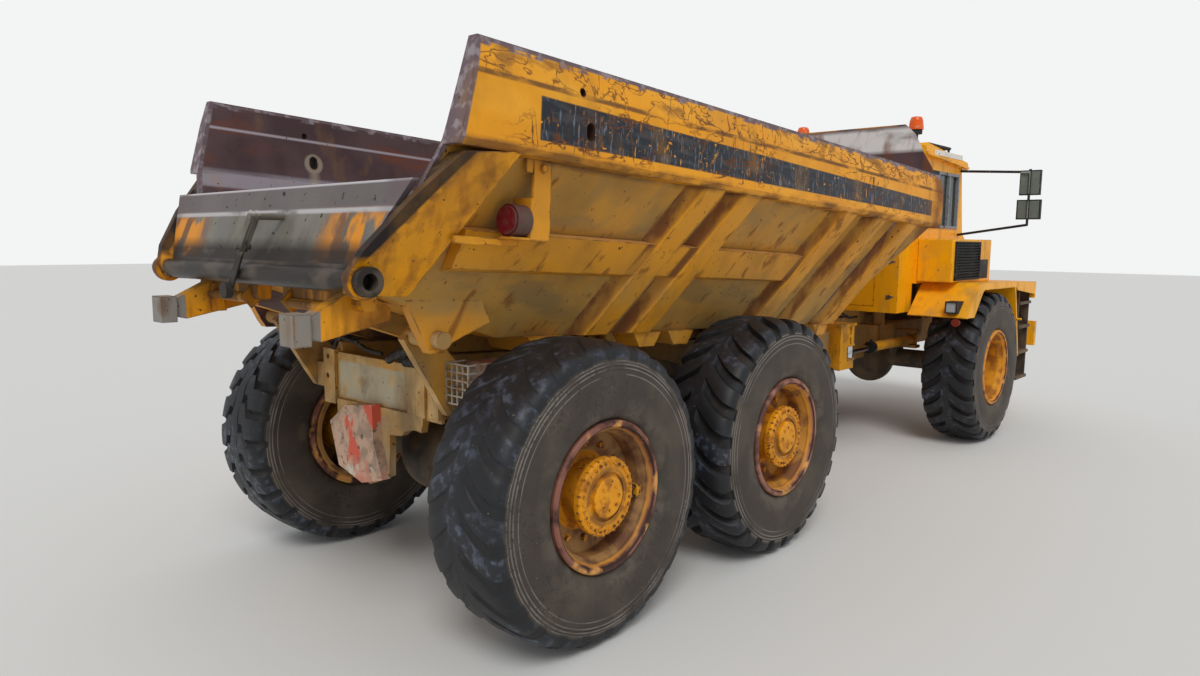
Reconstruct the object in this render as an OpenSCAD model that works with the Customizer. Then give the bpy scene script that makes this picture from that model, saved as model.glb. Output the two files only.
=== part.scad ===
// Six-wheel articulated dump truck, millimetres, X forward, Y left, Z up, tyres on Z = 0.
// Stations along X are counted from the rearmost axle, then centred on the overall length.

/* [Chassis] */
// Distance between the two rear axles
bogie_gap = 1670; // [1550:10:1900]
// Station of the front axle
front_axle_x = 5740; // [5600:10:5900]
// Station of the steering pivot
hitch_x = 4450; // [4400:5:4500]
// Height of the roll axis of the frame joint
roll_z = 1000; // [980:5:1020]
// Station of the front bumper's face
nose_x = 7700; // [7500:10:7900]
// Distance from the middle of the truck to the middle of a tyre
half_track = 1060; // [1050:5:1100]
// Outer face of the frame side members
frame_half_w = 430; // [400:5:440]
// Width of one frame side member
member_w = 90; // [60:5:110]
// Outer face of the front frame's side members
front_half_w = 330; // [300:5:340]
// Depth of one frame side member
member_h = 290; // [240:5:310]

/* [Wheels] */
// Outside diameter of a tyre over its lugs
tyre_d = 1480; // [1440:5:1500]
// Widest part of a tyre
tyre_w = 500; // [460:5:520]
// Height of a tyre lug
lug_h = 32; // [20:1:40]
// Outside diameter of the rim flange
rim_d = 738; // [700:2:760]
// Wall of the rim barrel
rim_wall = 18; // [12:1:26]
// Diameter of the axle spindle in the hub
spindle_d = 150; // [120:2:170]

/* [Dump body] */
// Station of the tipping hinge
hinge_x = -620; // [-660:5:-580]
// Height of the tipping hinge
hinge_z = 1500; // [1490:2:1510]
// Distance of a hinge lug from the middle
hinge_y = 800; // [780:5:820]
// Slope of the body, nose down, degrees
rake = 2.7; // [2:0.1:3.2]
// Half width of the body's flat floor
floor_half_w = 700; // [660:5:720]
// Half width of the body at the rail's outer face
rail_half_w = 1262; // [1240:2:1280]
// Height of the rail's lower edge above the floor's underside
rail_low = 815; // [790:5:830]
// Height of the rail's top above the floor's underside
rail_high = 1240; // [1200:5:1260]
// Thickness of the body's floor and front wall
plate_t = 25; // [16:1:30]
// Thickness of the rail box at its top
rail_t = 85; // [70:1:100]
// Station of the rail's front end
rail_front_x = 4110; // [4000:5:4130]
// Length of the body's flat floor in front of the kink
floor_len = 3450; // [3300:10:3500]
// Station of the floor's kink, where the chute starts to rise
kink_x = -200; // [-240:5:-160]

/* [Cab] */
// Half width of the cab
cab_half_w = 700; // [680:5:720]
// Station of the cab's rear wall
cab_rear_x = 5130; // [5100:5:5160]
// Station of the cab's front posts
cab_front_x = 6200; // [6150:5:6250]
// Height of the window sill
sill_z = 2060; // [2030:5:2090]
// Height of the roof at the rear
roof_z = 2900; // [2860:5:2940]
// Thickness of the cab's walls
cab_wall = 50; // [40:1:60]

/* [Hidden] */
$fn = 48;

// Paint and finish colours
yellow = "#e59a14";
shade_yellow = "#b98a35";
dark_steel = "#4a4038";
black = "#1b1c1e";
rubber = "#17181b";
glass = "#6f8286";
chrome = "#cfd4d8";
orange = "#f0641a";

// Running clearance of pins and the gap between parts that move past each other
pin_play = 0.1;
seat_gap = 0.3;
move_gap = 8;

// Rearmost point is the tailgate tube's rear side, frontmost is the bumper's face
gate_tube_x = -1090;
gate_tube_z = 1780;
gate_tube_r = 48;
gate_boss_r = 60;
tail_x = gate_tube_x - gate_tube_r - 120;
mid_x = (nose_x + tail_x) / 2;
axle_z = tyre_d / 2;
axle_xs = [0, bogie_gap, front_axle_x];
// Pins of the hoist cylinders, on the frame and under the dump body
hoist_low = [2750, 760];
hoist_top = [850, 1250];
hoist_pin_r = 35;
hoist_y = frame_half_w + 90;

module station() translate([-mid_x, 0, 0]) children();
// Outline in X and Z, extruded from y0 to y1
module plate_y(y0, y1, pts) translate([0, y1, 0]) rotate([90, 0, 0]) linear_extrude(y1 - y0) polygon(pts);
// Outline in Y and Z, extruded from x0 to x1
module plate_x(x0, x1, pts) translate([x0, 0, 0]) rotate([90, 0, 90]) linear_extrude(x1 - x0) polygon(pts);
// Box between two corners
module block(a, b) translate(a) cube([b[0] - a[0], b[1] - a[1], b[2] - a[2]]);
// Round bar along Y
module bar_y(x, z, y0, y1, r) translate([x, y0, z]) rotate([-90, 0, 0]) cylinder(r = r, h = y1 - y0);
// Round bar along X
module bar_x(y, z, x0, x1, r) translate([x0, y, z]) rotate([0, 90, 0]) cylinder(r = r, h = x1 - x0);
// Round bar along Z
module bar_z(x, y, z0, z1, r) translate([x, y, z0]) cylinder(r = r, h = z1 - z0);
// Outline in X and Y, extruded from z0 to z1
module plate_z(z0, z1, pts) translate([0, 0, z0]) linear_extrude(z1 - z0) polygon(pts);
module both() { children(); mirror([0, 1, 0]) children(); }

// Wheels
rim_half_w = 240;
bead_half_w = 205;
barrel_r = 318;
shoulder_r = tyre_d / 2 - 50;
module wheel_at(axle, side) translate([axle_xs[axle] - mid_x, side * half_track, axle_z])
    rotate([-90 * side, 0, 0]) children();

// Tyre: worn cross-country tread, its lugs stand between bent grooves cut from both shoulders
lugs_a_side = 26;
groove = [[-120, 30], [-50, 100], [-8, 270], [38, 270], [0, 100], [-85, 30]];
// The pattern starts this share of a lug round from the valve
tread_turn = 0.3;
module tyre(side) color(rubber) difference() {
    rotate_extrude($fn = 28) polygon([
        [barrel_r + seat_gap, -bead_half_w], [rim_d / 2 + 12, -bead_half_w],
        [rim_d / 2 + 130, -tyre_w / 2], [shoulder_r, -tyre_w / 2 + 18],
        [tyre_d / 2, -tyre_w / 2 + 75], [tyre_d / 2, tyre_w / 2 - 75],
        [shoulder_r, tyre_w / 2 - 18], [rim_d / 2 + 130, tyre_w / 2],
        [rim_d / 2 + 12, bead_half_w], [barrel_r + seat_gap, bead_half_w]
    ]);
    for (s = [0, 1], i = [0:lugs_a_side - 1])
        mirror([0, 0, s]) rotate([0, 0, (i + s / 2 + tread_turn) * 360 / lugs_a_side])
            plate_x(tyre_d / 2 - lug_h, tyre_d / 2 + 20, [for (p = groove) [-side * p[0], p[1]]]);
}

hub_r = 190;
drum_r = 160;
cap_r = 100;
hub_ring_h = 38;
module rim(front) color(yellow) difference() {
    disc_z = front ? -70 : 60;
    drum_top = front ? 10 : 222;
    union() {
        // Barrel with its gutter and two flanges
        rotate_extrude() polygon([
            [barrel_r - rim_wall, -rim_half_w], [rim_d / 2, -rim_half_w],
            [rim_d / 2, -bead_half_w - seat_gap], [barrel_r, -bead_half_w - seat_gap],
            [barrel_r, bead_half_w + seat_gap], [rim_d / 2, bead_half_w + seat_gap],
            [rim_d / 2, rim_half_w - 8], [rim_d / 2 - 8, rim_half_w], [barrel_r + 22, rim_half_w],
            [barrel_r + 8, rim_half_w - 28], [barrel_r - rim_wall, rim_half_w - 80]
        ]);
        // Dished disc, hub drum, bolt ring and cap
        rotate_extrude() polygon([
            [0, -rim_half_w + 60], [hub_r, -rim_half_w + 60], [hub_r, disc_z - 60], [barrel_r - rim_wall + 2, disc_z],
            [barrel_r - rim_wall + 2, disc_z + 26], [drum_r + 25, disc_z - 10], [drum_r, disc_z + 10],
            [drum_r, drum_top - hub_ring_h], [hub_r, drum_top - hub_ring_h], [hub_r, drum_top - 8],
            [hub_r - 8, drum_top], [cap_r + 20, drum_top], [cap_r + 20, drum_top - 10], [cap_r, drum_top - 10],
            [cap_r, drum_top + 10], [cap_r - 10, drum_top + 16], [0, drum_top + 16]
        ]);
    }
    translate([0, 0, -rim_half_w]) cylinder(r = spindle_d / 2 + pin_play, h = front ? rim_half_w - 60 : rim_half_w + 40);
}
spindle_in = half_track - rim_half_w + 20;
spindle_out = half_track + 20;
// The front rims are dished, so their spindles end further in
front_spindle_out = half_track - 61;
module spindles(x, out) both() bar_y(x, axle_z, spindle_in - 20, out, spindle_d / 2);

// Rear frame, its top runs parallel to the dump body's floor
kink_z = 1465;
sill_h = 100;
function floor_z(x) = kink_z - (x - kink_x) * tan(rake);
function frame_top(x) = floor_z(x) - sill_h - move_gap;
frame_tail_x = -420;
frame_front_end = 3900;
bearing_r = 190;
hinge_pin_r = 40;
bogie_pivot_z = axle_z + 120;
bogie_pivot_r = 75;
// Inner and outer face of a tipping hinge's bracket
hinge_plate_y = [590, 640];
// Rear end of the frame: station of its rear face, bracket holes as Y and Z
end_x = -460;
end_holes = [[432, 1285], [438, 1175]];
end_hole_r = 14;
module frame_rear() color(shade_yellow) station() difference() {
    union() {
        both() plate_y(frame_half_w - member_w, frame_half_w, [
            [frame_tail_x, frame_top(frame_tail_x) - member_h], [frame_tail_x, frame_top(frame_tail_x)],
            [frame_front_end, frame_top(frame_front_end)], [frame_front_end, frame_top(frame_front_end) - member_h]
        ]);
        // End plate, left end bracket and right end block
        block([frame_tail_x - 20, -590, 1050], [frame_tail_x, 480, 1315]);
        block([end_x, 370, 1020], [end_x + 12, 480, 1330]);
        block([end_x, 362, 1020], [frame_tail_x, 374, 1330]);
        block([end_x, -590, 1070], [frame_tail_x + 60, -330, 1330]);
        block([end_x - 14, -500, 1070], [end_x + 2, -420, 1330]);
        // Tow plate under the frame's end, cut away round the axle housing
        difference() {
            plate_x(end_x + 2, frame_tail_x, [
                [350, 1055], [-470, 1075], [-440, 960], [-170, 930], [-160, 705], [30, 625], [270, 690], [345, 930]
            ]);
            bar_x(-400, 800, end_x, frame_tail_x + 1, 190);
        }
        // Cross members
        block([700, -frame_half_w + 10, 1030], [960, frame_half_w - 10, 1200]);
        block([2500, -frame_half_w + 10, 960], [2700, frame_half_w - 10, 1120]);
        block([frame_front_end - 60, -frame_half_w, 860], [frame_front_end, frame_half_w, 1150]);
        // Brackets that carry the tipping hinge
        both() plate_y(hinge_plate_y[0], hinge_plate_y[1], [
            [frame_tail_x - 20, 1100], [frame_tail_x + 160, 1100], [frame_tail_x + 160, 1240],
            [hinge_x + 60, hinge_z + 40], [hinge_x, hinge_z + 50], [hinge_x - 60, hinge_z - 10]
        ]);
        both() block([frame_tail_x - 20, frame_half_w - 10, 1100], [frame_tail_x + 120, hinge_plate_y[0] + 10, 1240]);
        both() bar_y(hinge_x, hinge_z, hinge_plate_y[0] + 10, hinge_y + 60, hinge_pin_r);
        // Housing of the roll bearing
        bar_x(0, roll_z, frame_front_end - 300, frame_front_end + 60, bearing_r);
    }
    bar_x(0, roll_z, frame_front_end - 200, frame_front_end + 70, hitch_tube_r + pin_play);
    for (h = end_holes) bar_x(h[0], h[1], end_x - 1, end_x + 14, end_hole_r);
}
// Trunnions of the bogie beams and feet of the hoist cylinders, seated on the side members
module frame_brackets() color(shade_yellow) station() both() {
    bar_y(bogie_gap / 2, bogie_pivot_z, frame_half_w + seat_gap, 700, bogie_pivot_r);
    plate_y(frame_half_w + seat_gap, frame_half_w + 18, [
        [bogie_gap / 2 - 90, bogie_pivot_z - 90], [bogie_gap / 2 + 90, bogie_pivot_z - 90],
        [bogie_gap / 2 + 160, bogie_pivot_z + 280], [bogie_gap / 2 - 160, bogie_pivot_z + 280]
    ]);
    plate_y(frame_half_w + seat_gap, frame_half_w + 18, [
        [hoist_low[0] - 80, hoist_low[1] - 80], [hoist_low[0] - 140, 1090],
        [hoist_low[0] + 140, 1090], [hoist_low[0] + 80, hoist_low[1] - 80]
    ]);
    bar_y(hoist_low[0], hoist_low[1], frame_half_w + 10, hoist_y + 60, hoist_pin_r);
}
// Worn casting that hangs on the tow plate
module tow_casting() color("#b8a58c") station() plate_x(end_x - 50, end_x + 2 - seat_gap, [
    [175, 1047], [-87, 1084], [-92, 891], [-168, 698], [28, 644], [258, 699], [340, 935]
]);
// Valve box beside the right hinge bracket, behind a guard of welded wire
valve_y = [-810, -640 - seat_gap];
valve_z = [1165, 1365];
wire = 7;
module valve_box() color("#c9c6bd") station() {
    block([-330, valve_y[0] + 10, valve_z[0] + 20], [-110, valve_y[1], valve_z[1] - 10]);
    for (y = [valve_y[0]:(valve_y[1] - valve_y[0] - wire) / 4:valve_y[1] - wire])
        block([-450, y, valve_z[0]], [-450 + wire, y + wire, valve_z[1]]);
    for (z = [valve_z[0]:(valve_z[1] - valve_z[0] - wire) / 5:valve_z[1] - wire]) {
        block([-450, valve_y[0], z], [-450 + wire, valve_y[1], z + wire]);
        for (y = [valve_y[0], valve_y[1] - wire]) block([-450, y, z], [-320, y + wire, z + wire]);
    }
}

// Bogie beams, each carries the ends of both rear axles
beam_y = [610, 700];
beam_end = 170;
housing_r = 95;
module bogie_beams() color(shade_yellow) station() both() difference() {
    plate_y(beam_y[0], beam_y[1], [
        [-beam_end, axle_z - 140], [bogie_gap + beam_end, axle_z - 140], [bogie_gap + beam_end, axle_z + 140],
        [bogie_gap / 2 + 200, axle_z + 240], [bogie_gap / 2 - 200, axle_z + 240], [-beam_end, axle_z + 140]
    ]);
    bar_y(bogie_gap / 2, bogie_pivot_z, beam_y[0] - 1, beam_y[1] + 1, bogie_pivot_r + pin_play);
    for (x = [0, bogie_gap]) bar_y(x, axle_z, beam_y[0] - 1, beam_y[1] + 1, housing_r + pin_play);
}

// Axle housings with their differentials
module axle_housing(x) {
    both() bar_y(x, axle_z, 0, spindle_in - 20, housing_r);
    translate([x, 0, axle_z]) sphere(r = diff_r);
    spindles(x, spindle_out);
}
diff_r = 230;
module rear_axles() color(dark_steel) station() { axle_housing(0); axle_housing(bogie_gap); }
shaft_r = 45;
module rear_shaft() color(dark_steel) station() {
    bar_x(0, axle_z, diff_r + seat_gap, bogie_gap - diff_r - seat_gap, shaft_r);
    shaft_x0 = bogie_gap + diff_r + 20;
    shaft_x1 = frame_front_end - 300 - seat_gap;
    plate_y(-shaft_r, shaft_r, [
        [bogie_gap + diff_r + seat_gap, axle_z - shaft_r], [shaft_x0 + 60, axle_z - shaft_r],
        [shaft_x1, roll_z - 40 - shaft_r], [shaft_x1, roll_z - 40 + shaft_r],
        [shaft_x0, axle_z + shaft_r], [bogie_gap + diff_r + seat_gap, axle_z + shaft_r]
    ]);
}

// Hitch between the two frames
hitch_tube_r = 150;
hitch_front = hitch_x - 150;
king_pin_r = 50;
ear_gap = 110;
// Side plates outside the steering rods' eyes, with two slots each
box_side_y = [492, 508];
box_front = 4240;
box_z = [810, 1222];
module hitch_yoke() color(shade_yellow) station() difference() {
    union() {
        bar_x(0, roll_z, frame_front_end - 190, 4100, hitch_tube_r);
        block([frame_front_end + 70, -350, 830], [hitch_front, 350, 1200]);
        block([hitch_front - 10, -120, 870], [hitch_x, 120, 1180]);
        bar_z(hitch_x, 0, 870, 1180, 120);
        // Box that the steering rods enter: back, lid, floor and side plates
        block([frame_front_end + 66, -box_side_y[1], box_z[0]], [frame_front_end + 86, box_side_y[1], box_z[1]]);
        block([frame_front_end + 55, -box_side_y[1] - 14, box_z[1] - 22], [box_front + 12, box_side_y[1] + 14, box_z[1]]);
        both() block([frame_front_end + 66, 340, box_z[0]], [box_front, box_side_y[1], box_z[0] + 20]);
        both() block([frame_front_end + 66, box_side_y[0], box_z[0]], [box_front, box_side_y[1], box_z[1]]);
        // Ears that the steering rods are pinned between
        for (z = [steer_z - ear_gap / 2 - 20, steer_z + ear_gap / 2])
            both() block([4100, 340, z], [hitch_front, 490, z + 20]);
    }
    bar_z(hitch_x, 0, 860, 1190, king_pin_r + pin_play);
    for (z = [1035, 1125]) both() block([box_front - 85, box_side_y[0] - 1, z], [box_front - 60, box_side_y[1] + 1, z + 60]);
    // Way out for the rods when the truck is steered
    both() block([4110, box_side_y[0] - 1, steer_z - 66], [box_front + 1, box_side_y[1] + 1, steer_z + 66]);
}

// Front frame
module frame_front() color(shade_yellow) station() {
    both() block([5200, front_half_w - 80, 860], [nose_x - 300, front_half_w, 1120]);
    // Neck that narrows to the pivot's two ears
    for (z = [765, 1190]) {
        block([hitch_x, -130, z], [5300, 130, z + 95]);
        bar_z(hitch_x, 0, z, z + 95, 130);
    }
    block([hitch_x + 160, -130, 765], [5300, 130, 1285]);
    block([5150, -front_half_w, 860], [5300, front_half_w, 1120]);
    for (x = [6500, 7150]) block([x, -front_half_w, 900], [x + 80, front_half_w, 1060]);
    // Cab mounts
    for (x = [5230, 6300]) both() block([x, front_half_w - 80, 1100], [x + 80, front_half_w, cab_base_z - seat_gap]);
    bar_z(hitch_x, 0, 765, 1285, king_pin_r);
    // Feet of the steering cylinders
    both() bar_z(steer_base[0], steer_base[1], 880, 1020, steer_pin_r);
    for (z = [862, 1020]) both() block([steer_base[0] - 60, front_half_w - 10, z],
        [steer_base[0] + 60, steer_base[1] + 60, z + 30]);
}
module front_axle() color(dark_steel) station() {
    both() bar_y(front_axle_x, axle_z, 0, spindle_in - 20, housing_r);
    translate([front_axle_x, 0, axle_z - 40]) sphere(r = 250);
    spindles(front_axle_x, front_spindle_out);
    both() block([front_axle_x - 90, front_half_w - 80, axle_z], [front_axle_x + 90, front_half_w, 860 - seat_gap]);
}
module engine_block() color(dark_steel) station()
    block([6480, -front_half_w + 80 + seat_gap, 1060 + seat_gap], [7240, front_half_w - 80 - seat_gap, 1480]);

// Cab
cab_base_z = 1560;
roof_front_z = roof_z - 110;
module cab_shell() color(yellow) station() { cab_box(); door_pins(); }
module cab_box() difference() {
    plate_y(-cab_half_w, cab_half_w, [
        [cab_rear_x, cab_base_z], [cab_front_x + 420, cab_base_z], [cab_front_x + 380, sill_z - 180],
        [cab_front_x + 120, sill_z], [cab_front_x, roof_front_z - 70], [cab_rear_x, roof_z - 110]
    ]);
    plate_y(-cab_half_w + cab_wall, cab_half_w - cab_wall, [
        [cab_rear_x + cab_wall, cab_base_z + 40], [cab_front_x + 420 - cab_wall, cab_base_z + 40],
        [cab_front_x + 380 - cab_wall, sill_z - 200], [cab_front_x + 120 - cab_wall, sill_z - 20],
        [cab_front_x - cab_wall, roof_z], [cab_rear_x + cab_wall, roof_z]
    ]);
    // Side windows, left side opens for the door
    block([cab_rear_x + 90, -cab_half_w - 1, sill_z + 40], [cab_front_x - 60, 0, roof_front_z - 130]);
    block([cab_rear_x + 90, 0, cab_base_z + 55], [cab_front_x - 60, cab_half_w + 1, roof_front_z - 130]);
    // Rear window and windscreen
    block([cab_rear_x - 1, -cab_half_w + 110, sill_z + 60], [cab_rear_x + cab_wall + 1, cab_half_w - 110, roof_z - 200]);
    block([cab_front_x - 120, -cab_half_w + 90, sill_z + 40], [cab_front_x + 200, cab_half_w - 90, roof_front_z - 130]);
}
function roof_under(x) = roof_z - 110 + seat_gap
    - (x - cab_rear_x) * (roof_z - 110 - roof_front_z + 70) / (cab_front_x - cab_rear_x);
module cab_roof() color(yellow) station() {
    plate_y(-cab_half_w - 40, cab_half_w + 40, [
        [cab_rear_x - 30, roof_under(cab_rear_x - 30)], [cab_front_x + 60, roof_under(cab_front_x + 60)],
        [cab_front_x + 70, roof_front_z - 20], [cab_front_x + 40, roof_front_z], [cab_rear_x, roof_z],
        [cab_rear_x - 30, roof_z - 30]
    ]);
    // Drip rail along each side
    both() plate_y(cab_half_w + 30, cab_half_w + 56, [
        [cab_rear_x - 30, roof_under(cab_rear_x) + 2], [cab_front_x + 60, roof_under(cab_front_x) + 2],
        [cab_front_x + 60, roof_under(cab_front_x) + 22], [cab_rear_x - 30, roof_under(cab_rear_x) + 22]
    ]);
}
glass_t = 6;
// Right side window: stations of the uprights of its sliding frame, sill and head
slide_x = [5560, 5850, cab_front_x - 90];
window_z = [sill_z + 40, roof_front_z - 130];
bar_w = 28;
module window_frames() color(black) station() {
    difference() {
        block([cab_rear_x + 90 + seat_gap, -cab_half_w - 8, window_z[0] + seat_gap],
            [cab_front_x - 60 - seat_gap, -cab_half_w + 40, window_z[1] - seat_gap]);
        for (x = [[slide_x[0] + bar_w, slide_x[1]], [slide_x[1] + bar_w, slide_x[2]]])
            block([x[0], -cab_half_w - 9, window_z[0] + bar_w], [x[1], -cab_half_w + 41, window_z[1] - bar_w]);
    }
}
module cab_glass() color(glass) station() {
    for (x = [[slide_x[0] + bar_w, slide_x[1]], [slide_x[1] + bar_w, slide_x[2]]])
        block([x[0] + seat_gap, -cab_half_w + 20, window_z[0] + bar_w + seat_gap],
            [x[1] - seat_gap, -cab_half_w + 20 + glass_t, window_z[1] - bar_w - seat_gap]);
    block([cab_rear_x + 20, -cab_half_w + 110 + seat_gap, sill_z + 60 + seat_gap],
        [cab_rear_x + 20 + glass_t, cab_half_w - 110 - seat_gap, roof_z - 200 - seat_gap]);
    // Windscreen, parallel to the sloping front posts
    plate_y(-cab_half_w + 90 + seat_gap, cab_half_w - 90 - seat_gap, [
        [screen_x(sill_z + 40 + seat_gap) - 30, sill_z + 40 + seat_gap],
        [screen_x(sill_z + 40 + seat_gap) - 24, sill_z + 40 + seat_gap],
        [screen_x(roof_front_z - 130 - seat_gap) - 24, roof_front_z - 130 - seat_gap],
        [screen_x(roof_front_z - 130 - seat_gap) - 30, roof_front_z - 130 - seat_gap]
    ]);
}
function screen_x(z) = cab_front_x + 120 - (z - sill_z) * 120 / (roof_front_z - 70 - sill_z);
module cab_seat() color(black) station() {
    block([5350, -230, cab_base_z + 40 + seat_gap], [5750, 230, 2000]);
    block([5300, -230, 2000], [5400, 230, 2500]);
}
module cab_console() color(black) station() {
    block([6150, -450, cab_base_z + 40 + seat_gap], [6300, 450, 1960]);
    translate([6060, 0, 2080]) rotate([0, -60, 0]) rotate_extrude() translate([190, 0]) circle(r = 16);
    translate([6060, 0, 2080]) rotate([0, -60, 0]) cube([380, 30, 14], center = true);
    translate([6060, 0, 2080]) rotate([0, 120, 0]) cylinder(r = 30, h = 260);
}

// Mudguards and front deck, one piece each side
guard_half_w = 1250;
deck_rear_x = 5330;
deck_front_x = 7140;
deck_t = 30;
// Low end of the sloping rear plate and the low end of the flap behind the bumper
guard_low = [4950, tyre_d - 210];
flap_low = [6640, 760];
function deck_top(x) = tyre_d + 100 - (x - deck_rear_x) * 0.022;
function guard_outer(z) = guard_low[0] + (z - guard_low[1]) * (deck_rear_x - 40 - guard_low[0]) / (deck_top(deck_rear_x) - 5 - guard_low[1]);
function guard_under(x) = guard_low[1] - 8 + (x - guard_low[0] - 20) * (deck_top(5320) - deck_t - guard_low[1] + 8) / (5320 - guard_low[0] - 20);
module mudguards() color(yellow) station() both() {
    plate_y(cab_half_w + seat_gap, guard_half_w, [
        guard_low, [deck_rear_x - 40, deck_top(deck_rear_x) - 5], [deck_rear_x, deck_top(deck_rear_x)],
        [deck_front_x, deck_top(deck_front_x)], [deck_front_x, 1360], [deck_front_x - 25, 1360],
        [deck_front_x - 25, deck_top(deck_front_x) - deck_t], [6400, deck_top(6400) - deck_t], flap_low,
        [flap_low[0] - 25, flap_low[1]], [6365, deck_top(6365) - deck_t], [5320, deck_top(5320) - deck_t],
        [guard_low[0] + 20, guard_low[1] - 8]
    ]);
    // Outer skirts behind and along the wheel arch
    plate_y(guard_half_w - 12, guard_half_w, [
        [guard_low[0] + 2, guard_low[1] - 2], [deck_rear_x - 40, deck_top(deck_rear_x) - 6],
        [deck_rear_x + 120, deck_top(deck_rear_x) - 6], [guard_low[0] + 210, guard_low[1] - 8]
    ]);
    plate_y(guard_half_w - 12, guard_half_w, [
        [deck_rear_x - 40, deck_top(deck_rear_x) - 100], [deck_rear_x - 40, deck_top(deck_rear_x) - 6],
        [deck_front_x, deck_top(deck_front_x) - 2], [deck_front_x, deck_top(deck_front_x) - 140],
        [6480, deck_top(6480) - 85], [6420, deck_top(6420) - 51], [5420, deck_top(5420) - 68]
    ]);
    // Marker peg on the front flap
    bar_y(6498, 1165, guard_half_w - 20, guard_half_w + 45, 12);
}
// Work lamps on the sloping plates of the mudguards, a small round lamp hangs below each
work_lamp = [[1055, 1165], [1305, 1415]];
module work_lamps() color(black) station() both() {
    difference() {
        plate_y(work_lamp[0][0], work_lamp[0][1], [
            [guard_low[0] - 20, work_lamp[1][0]], [guard_low[0] - 20, work_lamp[1][1]],
            [guard_outer(work_lamp[1][1]) - seat_gap, work_lamp[1][1]], [guard_outer(work_lamp[1][0]) - seat_gap, work_lamp[1][0]]
        ]);
        block([guard_low[0] - 21, work_lamp[0][0] + 12, work_lamp[1][0] + 12],
            [guard_low[0] - 12, work_lamp[0][1] - 12, work_lamp[1][1] - 12]);
    }
    bar_x(1150, 1222, guard_low[0] - 4, guard_low[0] + 36, 36);
    plate_y(1140, 1160, [
        [guard_low[0] + 20, 1230], [guard_low[0] + 34, 1230],
        [guard_low[0] + 34, guard_under(guard_low[0] + 34) - seat_gap],
        [guard_low[0] + 20, guard_under(guard_low[0] + 20) - seat_gap]
    ]);
}
// Cabinet behind the cab, its door swings on two pins
hinge_r = 8;
knuckle_r = 14;
cabinet_pin = [4774, 30];
cabinet_hinge_z = [1420, 1830];
module cabinet() color(yellow) station() {
    difference() {
        block([4790, -660, 1285 + seat_gap], [cab_rear_x - seat_gap, 660, 2020]);
        block([4789, -430, 1340], [4830, 30, 1980]);
    }
    for (z = cabinet_hinge_z) {
        bar_z(cabinet_pin[0], cabinet_pin[1], z - 10, z + 90, hinge_r);
        for (e = [z - 10, z + 80]) {
            block([cabinet_pin[0] - 10, cabinet_pin[1] - 8, e], [4786, cabinet_pin[1] + 60, e + 10]);
            block([4784, cabinet_pin[1] + 6, e], [4795, cabinet_pin[1] + 60, e + 10]);
        }
    }
}
module cabinet_door() color(yellow) station() difference() {
    union() {
        block([4795, -425, 1345], [4822, 25, 1975]);
        for (z = cabinet_hinge_z) {
            bar_z(cabinet_pin[0], cabinet_pin[1], z + 5, z + 75, knuckle_r);
            block([4780, -60, z + 5], [4796, cabinet_pin[1] - 4, z + 75]);
        }
    }
    for (z = cabinet_hinge_z) bar_z(cabinet_pin[0], cabinet_pin[1], z, z + 80, hinge_r + pin_play);
}
// The hood turns on two pins held by the bumper's ears
hood_pin = [7500, 1110];
hood_pin_r = 15;
lamp_ys = [-720, 720];
module head_lamps() color(glass) station() for (y = lamp_ys)
    block([nose_x - 50 + seat_gap, y - 105, 865], [nose_x - 12, y + 105, 995]);
module bumper() color(yellow) station() {
    both() block([hood_pin[0] - 40, 625, hood_pin[1] - 70], [nose_x - 100, 645, hood_pin[1] + 30]);
    both() bar_y(hood_pin[0], hood_pin[1], 572, 630, hood_pin_r);
    difference() {
        plate_z(780, 1060, [
            [nose_x - 120, -1150], [nose_x - 40, -1150], [nose_x, -900], [nose_x, 900], [nose_x - 40, 1150], [nose_x - 120, 1150]
        ]);
        for (y = lamp_ys) block([nose_x - 50, y - 110, 860], [nose_x + 1, y + 110, 1000]);
    }
    // Tow eye plates
    both() plate_y(200, 225, [[nose_x - 110, 700], [nose_x - 20, 700], [nose_x - 20, 790], [nose_x - 110, 790]]);
    both() block([nose_x - 300 + seat_gap, front_half_w - 80, 880], [nose_x - 110, front_half_w, 1040]);
}
module exhaust() color(dark_steel) station() {
    difference() {
        union() {
            bar_z(6850, 800, 1500, 1950, 90);
            bar_z(6850, 800, 1940, 2250, 45);
        }
        plate_y(600, 1000, [
            [deck_rear_x, 1300], [deck_rear_x, deck_top(deck_rear_x) + seat_gap],
            [deck_front_x, deck_top(deck_front_x) + seat_gap], [deck_front_x, 1300]
        ]);
        bar_z(6850, 800, 2000, 2251, 38);
    }
    // Bent intake pipe behind the cab's right corner
    bar_z(5060, -600, 2020 + seat_gap, 2860, 34);
    translate([5010, -600, 2860]) rotate([90, 0, 0]) rotate_extrude(angle = 90) translate([50, 0]) circle(r = 34);
    bar_x(-600, 2910, 4940, 5010, 34);
}
step_x = [6720, 7090];
module steps() color(dark_steel) station() both() {
    for (x = step_x) block([x, 1020, 480], [x + 20, 1200, deck_top(x + 20) - deck_t - 3 * seat_gap]);
    for (z = [480, 760, 1040, 1300]) difference() {
        block([step_x[0], 1000, z], [step_x[1] + 20, 1220, z + 30]);
        for (i = [0:4]) block([step_x[0] + 40 + 62 * i, 1030, z - 1], [step_x[0] + 80 + 62 * i, 1190, z + 31]);
    }
}
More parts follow.
